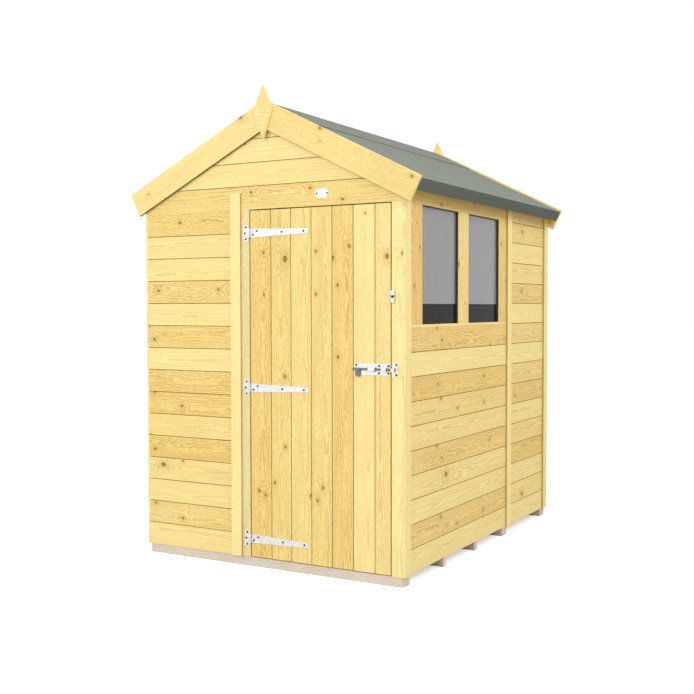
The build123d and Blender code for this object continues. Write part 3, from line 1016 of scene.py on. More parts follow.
@dataclass(frozen=True)
class Plated:
    """Metal with a plated or blacked face.

    Args:
        name: Name of the finish.
        colour: Its colour, as seen.
        cloudy: Colour of its cloudier patches.
        metallic: How much it shines as bare metal.
        roughness: Its mean roughness.
    """

    name: str
    colour: Colour
    cloudy: Colour
    metallic: float = 1.0
    roughness: float = 0.36

    def material(self, effects: Effects) -> bpy.types.Material:
        """Make the finish.

        Args:
            effects: The shared node groups.

        Returns:
            The material.
        """
        made, wire, surface = new_material(self.name)
        place = wire.node("ShaderNodeTexCoord").outputs["Object"]
        bloom = wire.effect(effects.bloom, {"Place": place})
        cloud = wire.step(bloom.outputs["Cloud"], 0.35, 0.65)
        colour = wire.mix(cloud, linear(*self.colour), linear(*self.cloudy))
        wire.feed(surface.inputs["Base Color"], colour)
        surface.inputs["Metallic"].default_value = self.metallic
        smooth, dull = self.roughness - 0.06, self.roughness + 0.08
        worn = wire.step(bloom.outputs["Scratch"], 0.3, 0.7, smooth, dull)
        wire.feed(surface.inputs["Roughness"], worn)
        height = wire.plus(bloom.outputs["Cloud"], bloom.outputs["Scratch"])
        wire.bump(surface, height, 0.25, 0.0002)
        return made


@dataclass(frozen=True)
class Felt:
    """Mineral-faced roofing felt.

    Args:
        name: Name of the finish.
        face: Colour of the felt, as seen.
        grit: Colour of its lighter grit.
        pit: Colour where the grit is thin.
    """

    name: str
    face: Colour
    grit: Colour
    pit: Colour

    def material(self) -> bpy.types.Material:
        """Make the finish.

        Returns:
            The material.
        """
        made, wire, surface = new_material(self.name)
        place = wire.node("ShaderNodeTexCoord").outputs["Object"]
        fine = wire.noise(place, (620.0, 620.0, 620.0), 2.0, 0.7)
        broad = wire.noise(place, (90.0, 2.5, 90.0), 3.0, 0.6)
        worn = wire.noise(place, (38.0, 38.0, 38.0), 3.0, 0.65)
        colour = wire.mix(wire.step(fine, 0.52, 0.68), linear(*self.face), linear(*self.grit))
        colour = wire.mix(wire.step(fine, 0.42, 0.3), colour, linear(*self.pit))
        colour = wire.mix(wire.step(broad, 0.35, 0.7, 0.0, 0.22), colour, linear(*self.grit))
        colour = wire.mix(wire.step(worn, 0.5, 0.75, 0.0, 0.25), colour, linear(*self.pit))
        wire.feed(surface.inputs["Base Color"], colour)
        wire.feed(surface.inputs["Roughness"], wire.step(fine, 0.3, 0.7, 0.94, 0.8))
        surface.inputs["Specular IOR Level"].default_value = 0.2
        wire.bump(surface, wire.plus(fine, worn), 0.7, 0.0008)
        return made


@dataclass(frozen=True)
class Glazing:
    """Clear pane.

    Args:
        name: Name of the finish.
        tint_and_reflection: Colour of what is seen through it; on the pane's foot it is a painted
            reflection.
        shine: How strongly its faces mirror.
        roughness: How hazy it is.
        clear: Share of the light that goes through, the rest being its own film.
        bend: How strongly it bends light.
    """

    name: str
    tint_and_reflection: Colour
    shine: float
    roughness: float
    clear: float
    bend: float

    def material(self) -> bpy.types.Material:
        """Make the finish.

        Returns:
            The material.
        """
        made, wire, surface = new_material(self.name)
        place = wire.node("ShaderNodeTexCoord").outputs["Object"]
        film = wire.noise(place, (6.0, 26.0, 3.0), 3.0, 0.6)
        clean = linear(*self.tint_and_reflection)
        dusty = tuple(0.9 * part for part in clean[:3]) + (1.0,)
        wire.feed(surface.inputs["Base Color"], wire.mix(film, clean, dusty))
        haze = wire.step(film, 0.4, 0.8, self.roughness, self.roughness + 0.03)
        wire.feed(surface.inputs["Roughness"], haze)
        surface.inputs["Transmission Weight"].default_value = self.clear
        surface.inputs["IOR"].default_value = self.bend
        surface.inputs["Specular IOR Level"].default_value = self.shine
        return made


@dataclass
class Finishes:
    """Every finish of the shed, made once."""

    effects: Effects = field(default_factory=Effects)

    def __post_init__(self) -> None:
        """Make the materials."""
        cladding = Pine(
            "pale pine",
            pale=(251, 231, 158),
            warm=(241, 206, 121),
            line=(206, 162, 84),
            knot=(118, 80, 18),
            ring_spacing=0.0085,
            line_strength=0.8,
            streaks=0.6,
            # Painted shade in the grooves.
            groove=(140, 100, 34),
        )
        trim = Pine(
            "pine trim",
            pale=(251, 235, 164),
            warm=(240, 204, 120),
            line=(206, 164, 88),
            knot=(118, 80, 20),
            ring_spacing=0.0075,
            line_strength=0.7,
            streaks=0.45,
        )
        framing = Pine(
            "sawn framing",
            pale=(236, 214, 158),
            warm=(222, 186, 124),
            line=(196, 150, 92),
            knot=(92, 60, 32),
            ring_spacing=0.0045,
            saw_relief=0.5,
            roughness=0.75,
            relief=0.0006,
        )
        rough = Pine(
            "rough bearer timber",
            pale=(240, 230, 217),
            warm=(224, 210, 193),
            line=(194, 176, 156),
            knot=(126, 104, 84),
            ring_spacing=0.004,
            line_strength=0.55,
            saw_relief=1.0,
            roughness=0.85,
            relief=0.0009,
        )
        self.cladding = cladding.material(self.effects)
        self.trim = trim.material(self.effects)
        self.framing = framing.material(self.effects)
        self.rough = rough.material(self.effects)
        self.zinc = Plated(
            "zinc plate", (216, 215, 212), (196, 196, 194), metallic=0.8, roughness=0.46
        ).material(self.effects)
        # Darker metal for the bolt's rod, which paints the shade between the rod and the bolt's
        # straps.
        self.steel_and_shade = Plated(
            "bright steel", (118, 119, 120), (92, 93, 94), roughness=0.34
        ).material(self.effects)
        self.black = Plated(
            "blacked screw", (16, 16, 18), (30, 30, 32), metallic=0.0, roughness=0.5
        ).material(self.effects)
        # Darker pine as painted shade on the side edges of the strips, head and sill.
        self.edge_shade = Pine(
            "sawn edge",
            pale=(206, 176, 112),
            warm=(186, 150, 86),
            line=(150, 114, 58),
            knot=(96, 64, 24),
            line_strength=0.6,
        ).material(self.effects)
        # Painted shade for the jamb on the hinge side, beside the cover strip.
        self.painted_shade = Pine(
            "greyed jamb",
            pale=(242, 227, 170),
            warm=(228, 207, 146),
            line=(200, 176, 116),
            knot=(110, 80, 34),
            line_strength=0.7,
        ).material(self.effects)
        self.shaded = Pine(
            "shaded underside",
            pale=(150, 118, 62),
            warm=(120, 88, 40),
            line=(92, 62, 26),
            knot=(60, 38, 14),
            line_strength=0.6,
        ).material(self.effects)
        self.felt = Felt("mineral felt", (126, 132, 122), (150, 156, 146), (92, 97, 88)).material()
        # Darker felt as painted shade on the strips folded down over the eaves.
        self.shaded_fold = Felt("felt fold", (92, 98, 89), (112, 118, 108), (68, 73, 66)).material()
        self.pane = Glazing("clear pane", (198, 197, 195), 0.5, 0.06, 0.6, 1.45).material()
        # A dark painted reflection on the foot of each pane.
        self.painted_reflection = Glazing("pane foot", (84, 80, 74), 0.1, 0.06, 0.8, 1.15).material()
        # Dark strips round the panes: partly a glazing strip, partly painted shade in the reveals.
        self.seal_and_shade = Plated(
            "glazing seal", (52, 42, 28), (66, 54, 38), metallic=0.0, roughness=0.7
        ).material(self.effects)


@dataclass
class BoardedWall:
    """A panel of tongued boards that run level.

    Args:
        node: The CAD node that it stands for.
        outward: The way its face looks.
        courses: Its boards from the foot up, used again in turn where they run out.
        seed: Seed of the boards' small differences.
        cuts: Planes that trim it.
    """

    node: str
    outward: Vector
    courses: tuple[Course, ...]
    seed: int
    cuts: tuple[tuple[Vector, Vector], ...] = ()

    def build(self, finishes: Finishes) -> bpy.types.Object:
        """Build the panel.

        Args:
            finishes: The shed's finishes.

        Returns:
            The panel's object.
        """
        low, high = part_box(self.node)
        timber = Timber(f"{self.node}_boards", self.seed)
        run, facing = (RIGHT, 1) if abs(self.outward.y) > 0.5 else (BACK, 0)
        origin = low.copy()
        if self.outward[facing] > 0:
            origin[facing] = high[facing]
        length = (high - low).dot(run)
        count = math.ceil((high.z - low.z - 1e-4) / BOARD_PITCH)
        for row in range(count):
            foot = row * BOARD_PITCH
            width = min(BOARD_PITCH, high.z - low.z - foot)
            section = tongued(width, BOARD_THICKNESS, row == 0, row == count - 1)
            place = Place(origin + UP * foot, run, UP, -self.outward)
            course = self.courses[row % len(self.courses)]
            timber.board(place, section, length, course, self.cuts)
        return timber.piece(finishes.cladding, "shed", "pale_pine", [self.node])


def mixed(seed: int, count: int) -> tuple[Course, ...]:
    """Choose tones for boards that the photograph doesn't show.

    Args:
        seed: Seed of the choice.
        count: Number of boards.

    Returns:
        The boards.
    """
    chance = random.Random(seed)
    tones = (Tone.PALE, Tone.PALE, Tone.LIGHT, Tone.MIDDLE, Tone.WARM, Tone.WARM)
    return tuple(Course(chance.choice(tones)) for _ in range(count))


@dataclass
class Shell:
    """The boarded walls and gables.

    Args:
        finishes: The shed's finishes.
        front_courses: Boards of the front wall beside the door, from the foot up.
        right_courses: Boards under the windows.
        rear_right_courses: Boards of the right wall behind the cover strip.
        gable_courses: Boards over the door.
    """

    finishes: Finishes
    front_courses: tuple[Course, ...] = (
        Course(Tone.PALE, ()),
        Course(Tone.MIDDLE, (Knot(0.038, 0.1), Knot(0.211, 0.037))),
        Course(Tone.PALE, ()),
        Course(Tone.LIGHT, (Knot(0.089, 0.076, 0.012), Knot(0.214, 0.102, 0.005))),
        Course(Tone.WARM, (Knot(0.037, 0.042),)),
        Course(Tone.LIGHT, (Knot(0.003, 0.001, 0.005),)),
        Course(Tone.WARM, (Knot(0.21, 0.045), Knot(0.037, 0.108, 0.006))),
        Course(Tone.WARM, ()),
        Course(Tone.PALE, ()),
        Course(Tone.MIDDLE, (Knot(0.037, 0.043), Knot(0.003, 0.109, 0.005))),
        Course(Tone.PALE, ()),
        Course(Tone.MIDDLE, (Knot(0.066, 0.064), Knot(0.441, 0.067))),
        Course(Tone.PALE, ()),
        Course(Tone.PALE, ()),
        Course(Tone.WARM, (Knot(0.206, 0.066),)),
    )
    right_courses: tuple[Course, ...] = (
        Course(Tone.PALE, ()),
        Course(Tone.WARM, (Knot(0.585, 0.029), Knot(0.923, 0.036), Knot(0.394, 0.092))),
        Course(Tone.PALE, ()),
        Course(Tone.LIGHT, (Knot(0.451, 0.068, 0.012),)),
        Course(Tone.WARM, (Knot(0.347, 0.104), Knot(0.404, 0.04), Knot(1.01, 0.06))),
        Course(Tone.LIGHT, ()),
        Course(Tone.MIDDLE, (Knot(0.588, 0.041), Knot(0.931, 0.043), Knot(0.391, 0.103))),
        Course(Tone.WARM, (Knot(0.357, 0.063), Knot(0.93, 0.068))),
        Course(Tone.PALE, ()),
        Course(Tone.WARM, (Knot(0.344, 0.105), Knot(0.401, 0.047), Knot(1.012, 0.006))),
    )
    rear_right_courses: tuple[Course, ...] = (
        Course(Tone.PALE, ()),
        Course(Tone.LIGHT, (Knot(0.234, 0.031, 0.011),)),
        Course(Tone.PALE, ()),
        Course(Tone.DEEP, ()),
        Course(Tone.MIDDLE),
        Course(Tone.PALE, ()),
        Course(Tone.WARM, (Knot(0.115, 0.044),)),
        Course(Tone.MIDDLE, ()),
        Course(Tone.PALE, ()),
        Course(Tone.MIDDLE),
        Course(Tone.PALE, ()),
        Course(Tone.WARM, (Knot(0.212, 0.07, 0.009),)),
        Course(Tone.LIGHT),
        Course(Tone.PALE, ()),
        Course(Tone.MIDDLE, (Knot(0.224, 0.069, 0.009),)),
        Course(Tone.LIGHT),
        Course(Tone.PALE),
    )
    gable_courses: tuple[Course, ...] = (
        Course(Tone.MIDDLE, (Knot(0.636, 0.082), Knot(0.966, 0.084), Knot(1.139, 0.024))),
        Course(Tone.PALE, ()),
        Course(Tone.PALE, (Knot(0.6, 0.09, 0.004),)),
        Course(Tone.LIGHT, ()),
        Course(Tone.LIGHT, ()),
    )

    def slopes(self) -> tuple[tuple[Vector, Vector], ...]:
        """Find the planes under the roof boards.

        Returns:
            A point and the upward normal of each.
        """
        peak = Vector((0, 0, RIDGE_HEIGHT))
        sine, cosine = math.sin(ROOF_PITCH), math.cos(ROOF_PITCH)
        return ((peak, Vector((sine, 0, cosine))), (peak, Vector((-sine, 0, cosine))))

    def build(self) -> None:
        """Build every boarded wall."""
        walls = (
            BoardedWall("front_wall_left", FRONT, self.front_courses, 11),
            BoardedWall("right_wall_lower", RIGHT, self.right_courses, 12),
            BoardedWall("right_wall_rear", RIGHT, self.rear_right_courses, 13),
            BoardedWall("left_wall_front", LEFT, mixed(5, 17), 14),
            BoardedWall("left_wall_rear", LEFT, mixed(6, 17), 15),
            BoardedWall("rear_wall", BACK, mixed(7, 15), 16),
            BoardedWall("gable_front", FRONT, self.gable_courses, 17, self.slopes()),
            BoardedWall("gable_rear", BACK, mixed(8, 5), 18, self.slopes()),
        )
        for wall in walls:
            wall.build(self.finishes)


@dataclass
class Trim:
    """The planed boards on the walls: jambs, strips, posts, head and sill.

    Args:
        finishes: The shed's finishes.
        left_jamb: Board on the hinge side of the doorway.
        right_jamb: Board on the bolt side.
        posts: Upright boards beside the windows, from front to back.
        head: Board over the windows.
    """

    finishes: Finishes
    left_jamb: Course = Course(Tone.LIGHT, (), Cut.RIFT)
    right_jamb: Course = Course(Tone.PALE, (Knot(1.445, 0.054, 0.006),))
    posts: tuple[Course, ...] = (
        Course(Tone.DEEP, (Knot(0.352, 0.158), Knot(0.176, 0.1), Knot(0.46, 0.13, 0.004))),
        Course(Tone.MIDDLE, (Knot(0.289, 0.004, 0.009), Knot(0.1, 0.08, 0.004))),
        Course(Tone.WARM, (Knot(0.417, 0.037), Knot(0.22, 0.1, 0.005), Knot(0.05, 0.03, 0.004))),
    )
    head: Course = Course(
        Tone.WARM,
        (Knot(0.39, 0.016), Knot(0.2, 0.09, 0.005), Knot(0.8, 0.06, 0.006), Knot(1.1, 0.1, 0.004)),
    )

    def build(self) -> None:
        """Build each group of boards in its own piece."""
        self._jambs()
        self._posts()
        groups = (
            ("cover_strip_front", FRONT, Course(Tone.PALE, (), Cut.RIFT), 21),
            ("cover_strips_left", LEFT, Course(Tone.PALE, None, Cut.RIFT), 22),
            ("cover_strips_right", RIGHT, Course(Tone.PALE, (), Cut.RIFT), 23),
            ("window_head", RIGHT, self.head, 25),
            ("window_sill", RIGHT, Course(Tone.PALE, (), Cut.RIFT), 26),
        )
        for node, outward, course, seed in groups:
            timber = Timber(f"{node}_boards", seed)
            for low, high in solids(node):
                timber.bar(low, high, outward, course)
            strips = timber.piece(self.finishes.trim, "shed", "pale_pine", [node])
            self._shade_edges(strips, outward)

    def _shade_edges(self, strips: bpy.types.Object, outward: Vector) -> None:
        """Give the strips' side edges away from the front corners a darker finish, which is
        painted shade.

        Args:
            strips: The strips' object.
            outward: The way their faces look.
        """
        strips.data.materials.append(self.finishes.edge_shade)
        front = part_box("cover_strip_front")[0].y
        for side in strips.data.polygons:
            # Side edges get the painted shade, except those at the front corner.
            rough = abs(side.normal.dot(outward)) < 0.2 and abs(side.normal.z) < 0.2
            corner = abs(side.normal.y) > 0.9 and side.center.y < front + 0.02
            side.material_index = int(rough and not corner)

    def _posts(self) -> None:
        """Build the upright boards beside and between the windows."""
        timber = Timber("window_post_boards", 24)
        posts = sorted(solids("window_posts"), key=lambda pair: pair[0].y)
        for (low, high), course in zip(posts, self.posts):
            timber.bar(low, high, RIGHT, course)
        timber.piece(self.finishes.trim, "shed", "pale_pine", ["window_posts"])

    def _jambs(self) -> None:
        """Build the plain boards on each side of the doorway, with painted shade on the one at the
        hinge side.
        """
        timber = Timber("door_jamb_boards", 20)
        courses = (self.left_jamb, self.right_jamb)
        for (low, high), course in zip(solids("door_jambs"), courses):
            timber.bar(low, high, FRONT, course)
        jambs = timber.piece(self.finishes.trim, "shed", "pale_pine", ["door_jambs"])
        # The jamb on the hinge side takes the painted shade.
        jambs.data.materials.append(self.finishes.painted_shade)
        for side in jambs.data.polygons:
            side.material_index = int(side.center.x < 0.0)


@dataclass
class Floor:
    """The bearers and the deck on them.

    Args:
        finishes: The shed's finishes.
        bearer_width: Width of one bearer.
        bearer_gap: Gap between two bearers that are nailed together.
        deck_boards: Number of boards across the deck.
    """

    finishes: Finishes
    bearer_width: float = 0.034
    bearer_gap: float = 0.0003
    deck_boards: int = 14

    def build(self) -> None:
        """Build the bearers one by one, and the deck's boards."""
        timber = Timber("bearer_timbers", 31)
        for low, high in solids("floor_bearers"):
            count = round((high.y - low.y) / self.bearer_width)
            for row in range(count):
                start = low + BACK * row * self.bearer_width
                end = Vector((high.x, start.y + self.bearer_width - self.bearer_gap, high.z))
                timber.bar(start, end, FRONT, Course(Tone.MIDDLE))
        timber.piece(self.finishes.rough, "shed", "rough_timber", ["floor_bearers"])

        low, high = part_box("floor_deck")
        timber = Timber("floor_deck_boards", 32)
        width = (high.x - low.x) / self.deck_boards
        for row in range(self.deck_boards):
            section = tongued(width, high.z - low.z, row == 0, row == self.deck_boards - 1)
            origin = Vector((low.x + row * width, low.y, high.z))
            place = Place(origin, BACK, RIGHT, DOWN)
            timber.board(place, section, high.y - low.y, Course(Tone.MIDDLE))
        timber.piece(self.finishes.framing, "shed", "rough_timber", ["floor_deck"])


@dataclass
class Framing:
    """The studs and rails behind the cladding.

    Args:
        finishes: The shed's finishes.
        nodes: The CAD nodes that it stands for, and the way the bars of each look.
    """

    finishes: Finishes
    nodes: tuple[tuple[str, Vector], ...] = (
        ("front_studs", FRONT),
        ("front_rails", FRONT),
        ("rear_studs", BACK),
        ("rear_rails", BACK),
        ("left_studs", LEFT),
        ("right_studs", RIGHT),
        ("side_rails", RIGHT),
        ("window_rails", RIGHT),
        ("door_stops", FRONT),
        ("door_threshold", FRONT),
    )

    def build(self) -> None:
        """Build each group of bars in its own piece."""
        for seed, (node, outward) in enumerate(self.nodes, 40):
            timber = Timber(f"{node}_bars", seed)
            for low, high in solids(node):
                timber.bar(low, high, outward, Course(Tone.MIDDLE, None))
            timber.piece(self.finishes.framing, "shed", "rough_timber", [node])


@dataclass
class Roof:
    """Roof boards, felt, ridge cap and the battens underneath.

    Args:
        finishes: The shed's finishes.
        half_depth: Half of the roof's run along the ridge.
        slope_length: Length of the boards' underside from ridge to eaves.
        board_thickness: Thickness of the roof boards.
        boards: Number of boards on a slope.
        ridge_lap: How far the first board starts before the ridge, to be trimmed plumb.
        felt_thickness: Thickness of the felt.
        felt_waves: Depth of the felt's slow and quick waves.
        felt_rates: How often those waves come in a metre.
        felt_bend: Radius of the felt's bend at the eaves.
        cap_width: How far the ridge cap comes down each slope.
        eaves_start: Distance from the ridge to the eaves boards.
        eaves_thickness: Thickness of the eaves boards.
        eaves_depth: Depth of the eaves boards and of the felt's fold.
        purlin_starts: Distance from the ridge to each purlin.
        purlin_width: Width of a purlin.
        purlin_depth: Depth of a purlin.
        frame_half_depth: Half of the framing's run along the ridge.
        stud_depth: Thickness of the framing.
        rafter_depth: Depth of a rafter.
        rafter_length: Length of a rafter from the ridge.
        rafter_lead: How far a rafter starts before the ridge, to be trimmed plumb.
    """

    finishes: Finishes
    half_depth: float = 0.956
    slope_length: float = 0.8960
    board_thickness: float = 0.011
    boards: int = 10
    ridge_lap: float = 0.01
    felt_thickness: float = 0.003
    felt_waves: tuple[float, float] = (0.0005, 0.0003)
    felt_rates: tuple[float, float] = (3.1, 11.0)
    felt_bend: float = 0.005
    cap_width: float = 0.25
    eaves_start: float = 0.8680
    eaves_thickness: float = 0.028
    eaves_depth: float = 0.046
    purlin_starts: tuple[float, ...] = (0.040, 0.430)
    purlin_width: float = 0.038
    purlin_depth: float = 0.028
    frame_half_depth: float = 0.944
    stud_depth: float = 0.028
    rafter_depth: float = 0.038
    rafter_length: float = 0.7938
    rafter_lead: float = 0.03

    def downhill(self, side: int) -> Vector:
        """Return the way down one slope."""
        return Vector((side * math.cos(ROOF_PITCH), 0, -math.sin(ROOF_PITCH)))

    def skyward(self, side: int) -> Vector:
        """Return the way straight out of one slope."""
        return Vector((side * math.sin(ROOF_PITCH), 0, math.cos(ROOF_PITCH)))

    def spot(self, side: int, along: float, above: float, y: float) -> Vector:
        """Find a point of the roof.

        Args:
            side: -1 for the left slope and 1 for the right.
            along: Distance down the slope from the ridge.
            above: Height over the underside of the roof boards.
            y: Place along the ridge.

        Returns:
            The point in the frame.
        """
        peak = Vector((0, y, RIDGE_HEIGHT))
        return peak + self.downhill(side) * along + self.skyward(side) * above

    def plumb(self, side: int) -> tuple[Vector, Vector]:
        """Return the upright plane at the ridge that ends one slope's boards."""
        return Vector((0, 0, 0)), Vector((-side, 0, 0))

    def build(self) -> None:
        """Build the whole roof."""
        for name, side in (("left", -1), ("right", 1)):
            self._sheathing(name, side)
            self._felt(name, side)
        self._cap()
        self._battens()
        self._rafters()

    def _sheathing(self, name: str, side: int) -> None:
        """Build the boards of one slope, which run along the ridge.

        Args:
            name: Name of the slope.
            side: -1 for the left slope and 1 for the right.
        """
        timber = Timber(f"roof_boards_{name}_boards", 60 + side)
        width = self.slope_length / self.boards
        for row in range(self.boards):
            start = row * width - (self.ridge_lap if row == 0 else 0.0)
            wide = (row + 1) * width - start
            section = tongued(wide, self.board_thickness, row == 0, row == self.boards - 1)
            origin = self.spot(side, start, self.board_thickness, -self.half_depth)
            place = Place(origin, BACK, self.downhill(side), -self.skyward(side))
            run = 2 * self.half_depth
            timber.board(place, section, run, Course(Tone.MIDDLE), [self.plumb(side)])
        timber.piece(self.finishes.framing, "shed", "pale_pine", [f"roof_boards_{name}"])

    def _sheet(
        self,
        name: str,
        path: list[tuple[Vector, Vector]],
        nodes: list[str],
        folded: int = 0,
    ) -> None:
        """Build a sheet of felt that follows a path, with slow waves along its run.

        Args:
            name: Name of the piece.
            path: Points of its outer face and their outward normals, across the run.
            nodes: The CAD nodes that it stands for.
            folded: How many strips at the path's end are folded down, and take the darker felt of
                painted shade.
        """
        rows = 48
        sharp = math.radians(40)
        slow, quick = self.felt_waves
        corners = []
        faces = []
        strips = []
        for row in range(rows + 1):
            y = -self.half_depth + 2 * self.half_depth * row / rows
            for point, normal in path:
                spot = point + BACK * y
                wave, fine = (0.5 + 0.5 * noise.noise(spot * rate) for rate in self.felt_rates)
                corners.append(spot - normal * (slow * wave + quick * fine))
            for point, normal in path:
                corners.append(point + BACK * y - normal * (self.felt_thickness - 0.0002))
        count = len(path)
        span = 2 * count
        for row in range(rows):
            for column in range(count - 1):
                low = row * span + column
                faces.append((low, low + 1, low + span + 1, low + span))
                under = low + count
                faces.append((under + 1, under, under + span, under + span + 1))
                strips.extend([column, column])
            for column in (0, count - 1):
                low = row * span + column
                faces.append((low, low + span, low + span + count, low + count))
                strips.append(column)
        for row in (0, rows):
            for column in range(count - 1):
                low = row * span + column
                faces.append((low, low + count, low + count + 1, low + 1))
                strips.append(column)
        mesh = bpy.data.meshes.new(name)
        mesh.from_pydata(corners, [], faces)
        mesh.materials.append(self.finishes.felt)
        # The folded strips take the darker felt, which is painted shade.
        if folded:
            mesh.materials.append(self.finishes.shaded_fold)
            for side, strip in zip(mesh.polygons, strips):
                side.material_index = int(strip >= count - 1 - folded)
        shaped = bmesh.new()
        shaped.from_mesh(mesh)
        bmesh.ops.recalc_face_normals(shaped, faces=shaped.faces[:])
        for side in shaped.faces:
            side.smooth = True
        for edge in shaped.edges:
            if len(edge.link_faces) == 2 and edge.calc_face_angle() > sharp:
                edge.smooth = False
        shaped.to_mesh(mesh)
        shaped.free()
        publish(name, mesh, self.finishes.felt, "shed", nodes)

    def _felt(self, name: str, side: int) -> None:
        """Build one slope's felt, folded down over the eaves.

        Args:
            name: Name of the slope.
            side: -1 for the left slope and 1 for the right.
        """
        top = self.board_thickness + self.felt_thickness
        end = self.slope_length + self.felt_thickness
        bend = self.felt_bend
        down, up = self.downhill(side), self.skyward(side)
        path = []
        first = -top * math.tan(ROOF_PITCH)
        lengths = [first + (end - bend - first) * step / 30 for step in range(31)]
        for along in lengths:
            path.append((self.spot(side, along, top, 0), up))
        for step in (1, 2, 3, 4):
            angle = math.radians(90 * step / 4)
            along = end - bend + bend * math.sin(angle)
            above = top - bend + bend * math.cos(angle)
            normal = down * math.sin(angle) + up * math.cos(angle)
            path.append((self.spot(side, along, above, 0), normal))
        for step in (1, 2, 3, 4):
            above = top - bend - (top - bend + self.eaves_depth) * step / 4
            path.append((self.spot(side, end, above, 0), down))
        self._sheet(f"roof_felt_{name}_sheet", path, [f"roof_felt_{name}"], 6)

    def _cap(self) -> None:
        """Build the felt cap over the ridge."""
        top = self.board_thickness + 2 * self.felt_thickness
        rise = top * math.tan(ROOF_PITCH)
        path = []
        for step in range(12):
            along = self.cap_width - (self.cap_width + rise) * step / 12
            path.append((self.spot(-1, along, top, 0), self.skyward(-1)))
        peak = (self.spot(-1, -rise, top, 0) + self.spot(1, -rise, top, 0)) / 2
        path.append((peak, UP))
        for step in range(11, -1, -1):
            along = self.cap_width - (self.cap_width + rise) * step / 12
            path.append((self.spot(1, along, top, 0), self.skyward(1)))
        self._sheet("roof_ridge_cap_sheet", path, ["roof_ridge_cap"])

    def _battens(self) -> None:
        """Build the eaves boards and purlins."""
        groups = (
            (
                "eaves_boards",
                (self.eaves_start,),
                self.eaves_thickness,
                self.eaves_depth,
                self.half_depth,
            ),
            (
                "roof_purlins",
                self.purlin_starts,
                self.purlin_width,
                self.purlin_depth,
                self.frame_half_depth - self.stud_depth,
            ),
        )
        for seed, (node, starts, width, depth, reach) in enumerate(groups, 66):
            timber = Timber(f"{node}_bars", seed)
            for side in (-1, 1):
                for start in starts:
                    origin = self.spot(side, start, 0, -reach)
                    place = Place(origin, BACK, self.downhill(side), -self.skyward(side))
                    section = planed(width, depth)
                    timber.board(place, section, 2 * reach, Course(Tone.LIGHT), ease=END_EASE)
            timber.piece(self.finishes.framing, "shed", "pale_pine", [node])

    def _rafters(self) -> None:
        """Build the two pairs of rafters behind the gables."""
        timber = Timber("gable_rafter_bars", 68)
        section = planed(self.rafter_depth, self.stud_depth)
        length = self.rafter_length + self.rafter_lead
        for face in (-self.frame_half_depth, self.frame_half_depth - self.stud_depth):
            for side in (-1, 1):
                origin = self.spot(side, -self.rafter_lead, 0, face)
                place = Place(origin, self.downhill(side), -self.skyward(side), BACK)
                timber.board(place, section, length, Course(Tone.MIDDLE), [self.plumb(side)])
        timber.piece(self.finishes.framing, "shed", "pale_pine", ["gable_rafters"])


